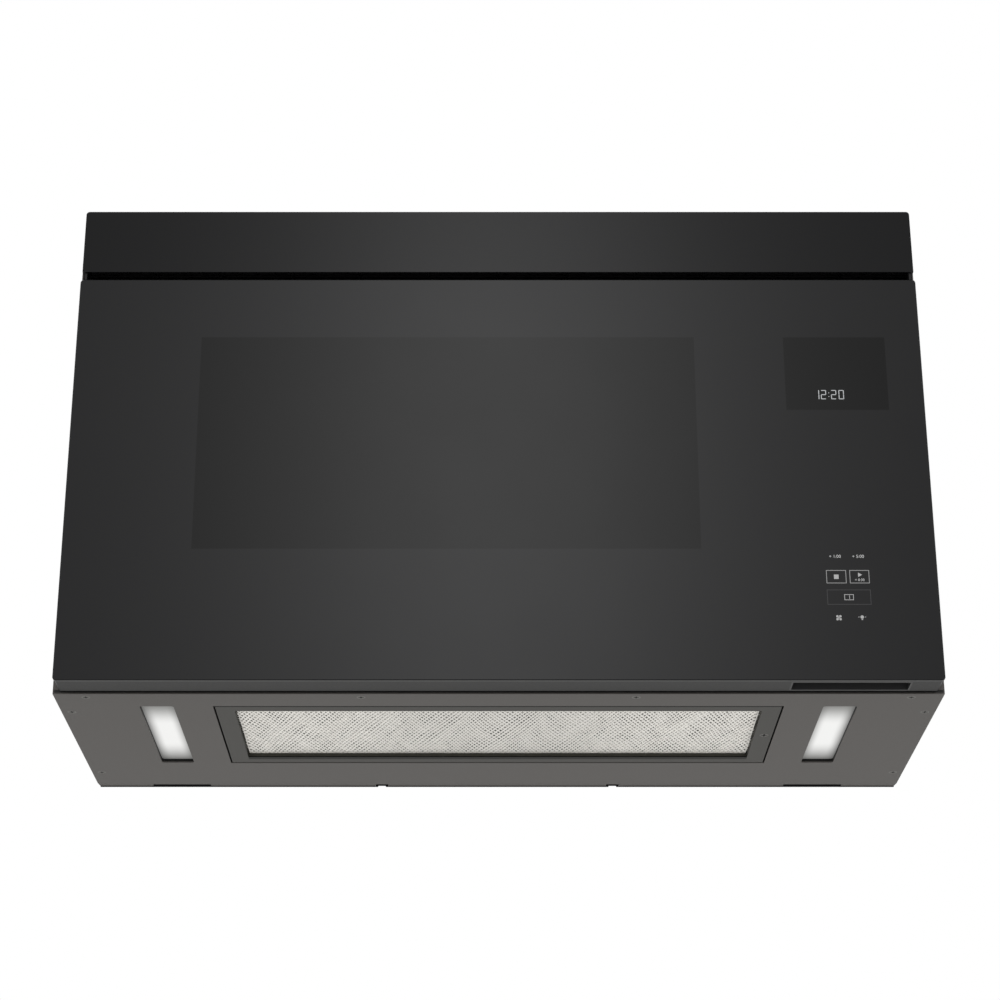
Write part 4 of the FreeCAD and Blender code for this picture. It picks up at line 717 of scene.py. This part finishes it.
class CaseFinishes(bpy.types.Operator):
    """Paint the case, its back and base and the trim above the door"""
    bl_idname = "microwave.case_finishes"
    bl_label = "Case finishes"

    def execute(self, context):
        door = context.scene.microwave_door
        under = context.scene.microwave_underside
        dress(satin_paint("black_back_paint", linear("#161617"), gloss=0.2), "back_panel")
        dress(satin_paint("grey_case_paint", under.paint_colour, gloss=0.15), "outer_case")
        dress(satin_paint("grey_underside_paint", under.paint_colour, gloss=0.15,
                          shaded_above_mm=base_inside_z), "base_plate")
        dress(filter_paint(under), "filter_frame")
        dress(zinc_sheet(), "exhaust_cover", "component_tray", "waveguide", "antenna_well",
              "blower_bracket", "cooling_fan_motor", "blower_motor", "stirrer_motor")
        dress(coated_trim(door), "top_trim")
        dress(moulded("black_abs", linear("#171718"), gloss=0.15), "vent_grille")
        dress(drawn_metal("zinc_plated_steel", linear("#8e8e8c"), line_mm=0.8, roughness=(0.32, 0.45)),
              "mount_nuts", "release_lever")
        dress(drawn_metal("black_passivated_steel", linear("#2c2c2d"), line_mm=0.8, roughness=(0.4, 0.55)),
              "hinge_arm_lower", "hinge_arm_upper", "hinge_block_lower", "hinge_block_upper")
        dress(drawn_metal("grey_plated_screw", linear("#62605d"), line_mm=0.6, roughness=(0.35, 0.5)),
              "base_screws", "filter_screw")
        dress(moulded("black_rubber", linear("#121212"), roughness=(0.6, 0.8), gloss=0.2), "cord_bushing")
        dress(moulded("dark_lamp_housing", linear("#161616"), roughness=(0.5, 0.65), gloss=0.2),
              "lamp_tray_left", "lamp_tray_right")
        return {"FINISHED"}


class DoorFinishes(bpy.types.Operator):
    """Give the door its glass, mouldings and punched inner sheet"""
    bl_idname = "microwave.door_finishes"
    bl_label = "Door finishes"

    def execute(self, context):
        door = context.scene.microwave_door
        dress(printed_glass(door), "door_glass")
        dress(moulded("black_door_moulding", linear("#0c0c0d"), gloss=0.22),
              "door_frame", "choke_cover", "display_module")
        # The cup is the door's black moulding drawn dark grey: painted light for the light reaching into it
        dress(moulded("painted_light_cup_moulding", linear("#2b2b2c"), gloss=0.3), "pull_cup")
        dress(perforated_panel(), "door_inner_panel")
        dress(clear_film(), "inner_window")
        dress(circuit_board(), "control_board", "power_board", "lamp_boards")
        return {"FINISHED"}


class OvenFinishes(bpy.types.Operator):
    """Enamel the oven and its front sheet, and give it its ceramic floor"""
    bl_idname = "microwave.oven_finishes"
    bl_label = "Oven finishes"

    def execute(self, context):
        dress(speckled_enamel(), "oven_cavity")
        dress(surround_enamel(context.scene.microwave_underside.paint_colour), "front_plate")
        dress(glass_ceramic(), "ceramic_floor")
        return {"FINISHED"}


class InnerFinishes(bpy.types.Operator):
    """Finish the electrical parts, the fans and the latch"""
    bl_idname = "microwave.inner_finishes"
    bl_label = "Inner finishes"

    def execute(self, context):
        dress(drawn_metal("mill_aluminium", linear("#c4c5c6"), line_mm=0.7, roughness=(0.3, 0.45)),
              "magnetron", "hv_capacitor", "antenna_rotor")
        dress(laminated_iron(), "transformer_core")
        dress(wound_wire(), "transformer_windings", "release_coil")
        dress(moulded("grey_polypropylene", linear("#6b6c6e")), "cooling_fan_shroud", "cooling_fan_blade",
              "blower_scroll_left", "blower_scroll_right", "blower_wheels")
        dress(moulded("white_nylon", linear("#d8d6cf")), "latch_hooks", "latch_bracket", "switch_plungers",
              "cavity_lamp")
        dress(moulded("black_phenolic", linear("#171614")),
              "hv_diode", "interlock_switches", "thermal_cutouts")
        dress(charcoal_pad(), "charcoal_filter")
        return {"FINISHED"}


class CooktopLights(bpy.types.Operator):
    """Light the two lenses in the underside"""
    bl_idname = "microwave.cooktop_lights"
    bl_label = "Cooktop lights"

    def execute(self, context):
        under = context.scene.microwave_underside
        for node in ("lamp_lens_left", "lamp_lens_right"):
            dress(lit_lens(under, node), node)
        return {"FINISHED"}


class FilterWeave(bpy.types.Operator):
    """Weave the two front layers of the grease filter"""
    bl_idname = "microwave.filter_weave"
    bl_label = "Filter weave"

    def execute(self, context):
        look = context.scene.microwave_underside
        dress(mesh_pad(look), "filter_mesh")
        # Two layers with slightly different cells, so that they cross in slow bands as packed layers do;
        # the real strands are finer, and these are as coarse as they need to show
        bright = strand_metal("bright_aluminium_strand", look.strand_colour)
        # The layer behind is a darker copy of the same metal: painted shade for lying deeper
        shaded_back = strand_metal("shaded_back_aluminium_strand", look.back_colour)
        self.layer(look, "filter_weave", bright, scale=1.0, lift=0.9, wave=57)
        self.layer(look, "filter_weave_back", shaded_back, scale=1.13, lift=0.4, wave=43)
        return {"FINISHED"}

    def layer(self, look, name, material, scale, lift, wave):
        """One layer of diamonds below the pad, its strands crossing and swaying a little."""
        low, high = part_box("filter_mesh")
        half = Vector((opening_x[1] * MM - look.side_shade, (opening_y[1] - opening_y[0]) / 2 * MM))
        half -= Vector((edge_inset, edge_inset)) * MM
        middle = Vector(((high.x + low.x) / 2, (high.y + low.y) / 2))
        pitch = look.cell_width * scale
        steep = look.cell_length / look.cell_width
        reach = half.y / steep
        count = int((half.x + reach) / pitch)
        shape = bmesh.new()
        z = low.z - lift * MM
        for slope, lean in ((steep, 1), (-steep, -1)):
            done = len(shape.verts)
            for index in range(-count, count + 1):
                offset = (index + uneven_share * math.sin(uneven_step * index)) * pitch
                first = max(-half.x, offset - reach)
                last = min(half.x, offset + reach)
                if last - first < look.strand_width:
                    continue
                ends = [Vector((middle.x + x, middle.y + slope * (x - offset), z)) for x in (first, last)]
                bar(shape, *ends, look.strand_width, strand_thickness * MM)
            self.sway(shape, done, middle, wave * MM, look.strand_sway, lean)
        self.border(shape, middle, half, z)
        place_piece(name, shape, material, "grease_filter")

    def sway(self, shape, done, middle, wave, size, lean):
        """Bend the newest strands from side to side, and over and under those that cross them."""
        newest = set(list(shape.verts)[done:])
        runs = [edge for edge in shape.edges
                if edge.verts[0] in newest and edge.calc_length() > straight_length * MM]
        bmesh.ops.subdivide_edges(shape, edges=runs, cuts=strand_cuts, use_grid_fill=True)
        for vert in list(shape.verts)[done:]:
            across = 2 * math.pi * (vert.co.x - middle.x) / wave
            along = 2 * math.pi * (vert.co.y - middle.y) / (sway_length * wave)
            slow = math.sin(across + math.sin(along))
            quick = math.sin(quick_along * along + quick_across * across)
            vert.co.x += size * (slow + quick_share * quick)
            vert.co.z += lean * strand_rise * MM * math.sin(rise_across * across + rise_along * along)

    def border(self, shape, middle, half, z):
        """Flat edge strip round a layer."""
        corners = [Vector((middle.x + x * half.x, middle.y + y * half.y, z))
                   for x, y in ((-1, -1), (1, -1), (1, 1), (-1, 1))]
        for start, end in zip(corners, corners[1:] + corners[:1]):
            bar(shape, start, end, edge_strip * MM, strand_thickness * MM)


def screw_centres(node):
    """Centre of each screw head in a node, on the plane of the heads."""
    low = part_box(node)[0].z
    rim = [v.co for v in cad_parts[node].data.vertices if v.co.z < low + head_flat * MM]
    groups = []
    for point in rim:
        near = next((g for g in groups if (g[0] - point).length < head_reach * MM), None)
        if near is None:
            groups.append([point])
        else:
            near.append(point)
    centres = []
    for group in groups:
        xs = [p.x for p in group]
        ys = [p.y for p in group]
        centres.append(Vector(((min(xs) + max(xs)) / 2, (min(ys) + max(ys)) / 2, low)))
    return centres


class ScrewRecesses(bpy.types.Operator):
    """Set dark crosses on the heads of the underside screws, a painted shade for their cross recesses"""
    bl_idname = "microwave.screw_recesses"
    bl_label = "Screw recesses"

    def execute(self, context):
        # Near black: painted shade for the recesses
        painted_shade = moulded("painted_screw_recess_shade", linear("#060606"), roughness=(0.6, 0.7), gloss=0.1)
        for node, body, size in (("base_screws", "cabinet", 1.0), ("filter_screw", "grease_filter", 1.4)):
            shape = bmesh.new()
            for centre in screw_centres(node):
                for way in (Vector((1, 0, 0)), Vector((0, 1, 0))):
                    arm = way * recess_arm * size * MM
                    bar(shape, centre - arm, centre + arm, recess_width * size * MM, recess_depth * MM)
                hub = Matrix.Translation(centre - Vector((0, 0, recess_lift * MM)))
                bmesh.ops.create_circle(shape, cap_ends=True, segments=16, radius=recess_radius * size * MM,
                                        matrix=hub)
            place_piece(node + "_recess", shape, painted_shade, body)
        return {"FINISHED"}


class RearClips(bpy.types.Operator):
    """Set dark clips, a painted shade, in the two narrow notches at the rear edge, and the hem beside them
    """
    bl_idname = "microwave.rear_clips"
    bl_label = "Rear clips"

    def execute(self, context):
        y = cad_box[1].y - rear_inset * MM
        thickness = rear_thickness * MM
        z = (clip_z[0] + clip_z[1]) / 2 * MM
        shape = bmesh.new()
        for side in (-1, 1):
            centre = side * clip_centre_x * MM
            ends = [Vector((centre + end * clip_width / 2 * MM, y, z)) for end in (-1, 1)]
            bar(shape, *ends, thickness, (clip_z[1] - clip_z[0]) * MM)
            for end in (-1, 1):
                foot = Vector((centre + end * (clip_width - clip_leg) / 2 * MM, y, -hem_drop * MM))
                top = foot + Vector((0, 0, (clip_z[0] + hem_drop) * MM))
                bar(shape, foot, top, thickness, clip_leg * MM)
        # The clips are near black: painted shade that closes most of each notch
        notch_shade = moulded("painted_notch_shade", linear("#0b0b0b"), roughness=(0.6, 0.7), gloss=0.1)
        place_piece("rear_clips", shape, notch_shade, "cabinet")
        hem = bmesh.new()
        for span in hem_x:
            ends = [Vector((x * MM, y, -hem_drop / 2 * MM)) for x in span]
            bar(hem, *ends, thickness, hem_drop * MM)
        black = satin_paint("black_hem_paint", linear("#161617"), gloss=0.2)
        place_piece("rear_hem", hem, black, "cabinet")
        return {"FINISHED"}


class ClockFigures(bpy.types.Operator):
    """Light the seven-segment clock in the display"""
    bl_idname = "microwave.clock_figures"
    bl_label = "Clock figures"

    def execute(self, context):
        shape = bmesh.new()
        height = clock_z[1] - clock_z[0]
        last = clock_right - digit_width
        for number, before in clock_digits:
            digit(shape, number, last - before, clock_z[0], digit_width, height, digit_line)
        colon, half = last - colon_before, digit_line / 2
        for share in (0.3, 0.7):
            z = clock_z[0] + height * share
            front_plate(shape, (colon - half, colon + half), (z - half, z + half))
        place_piece("clock_figures", shape, white_print("lit_clock_segment", "#a9abad", glow=0.12), "door")
        return {"FINISHED"}


class TouchMarks(bpy.types.Operator):
    """Print the touch keys: plain outlines, figures and signs"""
    bl_idname = "microwave.touch_marks"
    bl_label = "Touch marks"

    def execute(self, context):
        look = context.scene.microwave_door
        line = look.print_line / MM
        ink = white_print("white_glass_ink", "#a2a2a2")
        bright = white_print("bright_glass_ink", "#bababa")
        grey = white_print("grey_glass_ink", "#8e8e8e")
        faint = white_print("faint_glass_ink", "#39393a")
        outlines = bmesh.new()
        front_frame(outlines, key_left_x, key_z, line)
        front_frame(outlines, key_right_x, key_z, line)
        place_piece("key_outlines", outlines, grey, "door")
        wide = bmesh.new()
        front_frame(wide, open_key_x, open_key_z, line)
        place_piece("open_key_outline", wide, faint, "door")
        left, right = sum(key_left_x) / 2, sum(key_right_x) / 2
        small_figures("label_plus_one", "+ 1:00", (one_label_x, time_label_z), time_label_height, bright)
        small_figures("label_plus_five", "+ 5:00", (five_label_x, time_label_z), time_label_height, bright)
        small_figures("label_plus_half", "+ 0:30", (right, half_label_z), half_label_height, bright)
        signs = bmesh.new()
        side = (stop_sign_z[1] - stop_sign_z[0]) / 2
        front_plate(signs, (left - side, left + side), stop_sign_z)
        # The start sign is a triangle with its tip to the right
        front_disc(signs, (right, start_sign_z), start_sign_radius, sides=3, degrees=90)
        self.door_sign(signs, open_sign)
        self.fan_sign(signs, (fan_sign_x, icon_label_z), icon_size)
        self.lamp_sign(signs, (lamp_sign_x, icon_label_z), icon_size)
        place_piece("key_signs", signs, ink, "door")
        return {"FINISHED"}

    def door_sign(self, shape, centre):
        """Outline of a door standing open."""
        x, z = centre
        half_width, half_height, line = 4.0, 2.6, 0.5
        front_frame(shape, (x - half_width, x + half_width), (z - half_height, z + half_height), line)
        leaf_x, leaf_half = (0.2, 0.7), 1.6
        front_plate(shape, (x + leaf_x[0], x + leaf_x[1]), (z - leaf_half, z + leaf_half))

    def fan_sign(self, shape, centre, size):
        """Hub and four round blades."""
        hub, blade, away = 0.5 * size, 0.85 * size, 1.45 * size
        front_disc(shape, centre, hub, sides=12)
        for quarter in range(4):
            angle = math.radians(45 + 90 * quarter)
            spot = (centre[0] + away * math.cos(angle), centre[1] + away * math.sin(angle))
            front_disc(shape, spot, blade, sides=16)

    def lamp_sign(self, shape, centre, size):
        """Round bulb with a cap and rays."""
        x, z = centre
        bulb, cap, ray = 1.2 * size, 0.55 * size, 0.45 * size
        front_disc(shape, (x, z + 0.5 * size), bulb, sides=20)
        front_plate(shape, (x - cap, x + cap), (z - 1.6 * size, z - 0.95 * size))
        for side in (-1, 1):
            spot = x + side * 2.2 * size
            front_plate(shape, (spot - ray, spot + ray), (z + 0.3 * size, z + 0.7 * size))


class CavityVents(bpy.types.Operator):
    """Lay rows of dark discs on the oven's side walls: painted shade for its small vent holes"""
    bl_idname = "microwave.cavity_vents"
    bl_label = "Cavity vents"

    def execute(self, context):
        low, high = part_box("ceramic_floor")
        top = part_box("oven_cavity")[1].z
        shape = bmesh.new()
        gap = vent_wall_gap * MM
        for wall, face, rows, columns, start in ((low.x - gap, 1, 6, 9, 50), (high.x + gap, -1, 7, 7, 30)):
            turn = Matrix.Rotation(math.radians(90 * face), 4, "Y")
            for row in range(rows):
                z = top - (vent_top + row * vent_step_z) * MM
                for column in range(columns):
                    # Every second row is set over by half a step
                    y = high.y - (start + (column + row % 2 / 2) * vent_step_y) * MM
                    at = Matrix.Translation((wall, y, z))
                    bmesh.ops.create_circle(shape, cap_ends=True, segments=10, radius=vent_radius * MM,
                                            matrix=at @ turn)
        place_piece("cavity_vents", shape, moulded("painted_hole_shade", linear("#070707")), "cabinet")
        return {"FINISHED"}


class Stage(bpy.types.Operator):
    """Set the camera, the white surroundings, the floor and the softbox"""
    bl_idname = "microwave.stage"
    bl_label = "Stage"

    def execute(self, context):
        look = context.scene.microwave_stage
        scene = context.scene
        scene.view_settings.view_transform = "Standard"
        self.camera(scene, look)
        self.surroundings(scene, look)
        self.floor(scene, look)
        self.softbox(scene, look)
        return {"FINISHED"}

    def camera(self, scene, look):
        """Camera at the photograph's place, looking up at the underside."""
        data = bpy.data.cameras.new("camera")
        data.lens = look.lens
        data.sensor_width = 36.0
        data.shift_x, data.shift_y = look.shift
        camera = bpy.data.objects.new("camera", data)
        camera.location = look.camera_place
        camera.rotation_euler = (math.radians(90) + look.tilt, 0.0, 0.0)
        scene.collection.objects.link(camera)
        scene.camera = camera

    def surroundings(self, scene, look):
        """Plain white all round."""
        world = bpy.data.worlds.new("white_surroundings")
        world.use_nodes = True
        sky = world.node_tree.nodes["Background"]
        sky.inputs["Color"].default_value = opaque((1.0, 1.0, 1.0))
        sky.inputs["Strength"].default_value = look.world_level
        scene.world = world

    def floor(self, scene, look):
        """Pale floor well below the camera."""
        shape = bmesh.new()
        bmesh.ops.create_grid(shape, x_segments=1, y_segments=1, size=look.floor_reach,
                              matrix=Matrix.Translation((0, 0, look.floor_level)))
        mesh = bpy.data.meshes.new("studio_floor")
        shape.to_mesh(mesh)
        shape.free()
        material, tree, shader, place = surface("pale_floor", {"Specular IOR Level": 0.2})
        mottle(tree, shader, place, (linear("#ececea"), linear("#f0f0ee")),
               grain_mm=200, roughness=(0.7, 0.8))
        mesh.materials.append(material)
        floor = bpy.data.objects.new("studio_floor", mesh)
        scene.collection.objects.link(floor)

    def softbox(self, scene, look):
        """Rectangular area light above the camera, pointed at the door."""
        data = bpy.data.lights.new("front_softbox", "AREA")
        data.shape = "RECTANGLE"
        data.size, data.size_y = look.softbox_size
        data.energy = look.softbox_power
        light = bpy.data.objects.new("front_softbox", data)
        light.location = look.softbox_place
        way = Vector(look.softbox_aim) - Vector(look.softbox_place)
        light.rotation_euler = way.to_track_quat("-Z", "Y").to_euler()
        scene.collection.objects.link(light)


OPERATORS = (CaseFinishes, DoorFinishes, OvenFinishes, InnerFinishes, CooktopLights, FilterWeave,
             ScrewRecesses, RearClips, ClockFigures, TouchMarks, CavityVents, Stage)


class MicrowavePanel(bpy.types.Panel):
    """Buttons for each step of the dressing"""
    bl_idname = "VIEW3D_PT_microwave"
    bl_label = "Hood microwave"
    bl_space_type = "VIEW_3D"
    bl_region_type = "UI"
    bl_category = "Microwave"

    def draw(self, context):
        for operator in OPERATORS:
            self.layout.operator(operator.bl_idname)


CLASSES = (DoorSettings, UndersideSettings, StageSettings) + OPERATORS + (MicrowavePanel,)


def register():
    """Register the classes and their settings."""
    for item in CLASSES:
        bpy.utils.register_class(item)
    bpy.types.Scene.microwave_door = PointerProperty(type=DoorSettings)
    bpy.types.Scene.microwave_underside = PointerProperty(type=UndersideSettings)
    bpy.types.Scene.microwave_stage = PointerProperty(type=StageSettings)


def unregister():
    """Undo register."""
    del bpy.types.Scene.microwave_stage
    del bpy.types.Scene.microwave_underside
    del bpy.types.Scene.microwave_door
    for item in reversed(CLASSES):
        bpy.utils.unregister_class(item)


def main():
    """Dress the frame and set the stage."""
    register()
    for operator in OPERATORS:
        area, name = operator.bl_idname.split(".")
        getattr(getattr(bpy.ops, area), name)()


if __name__ == "__main__":
    main()
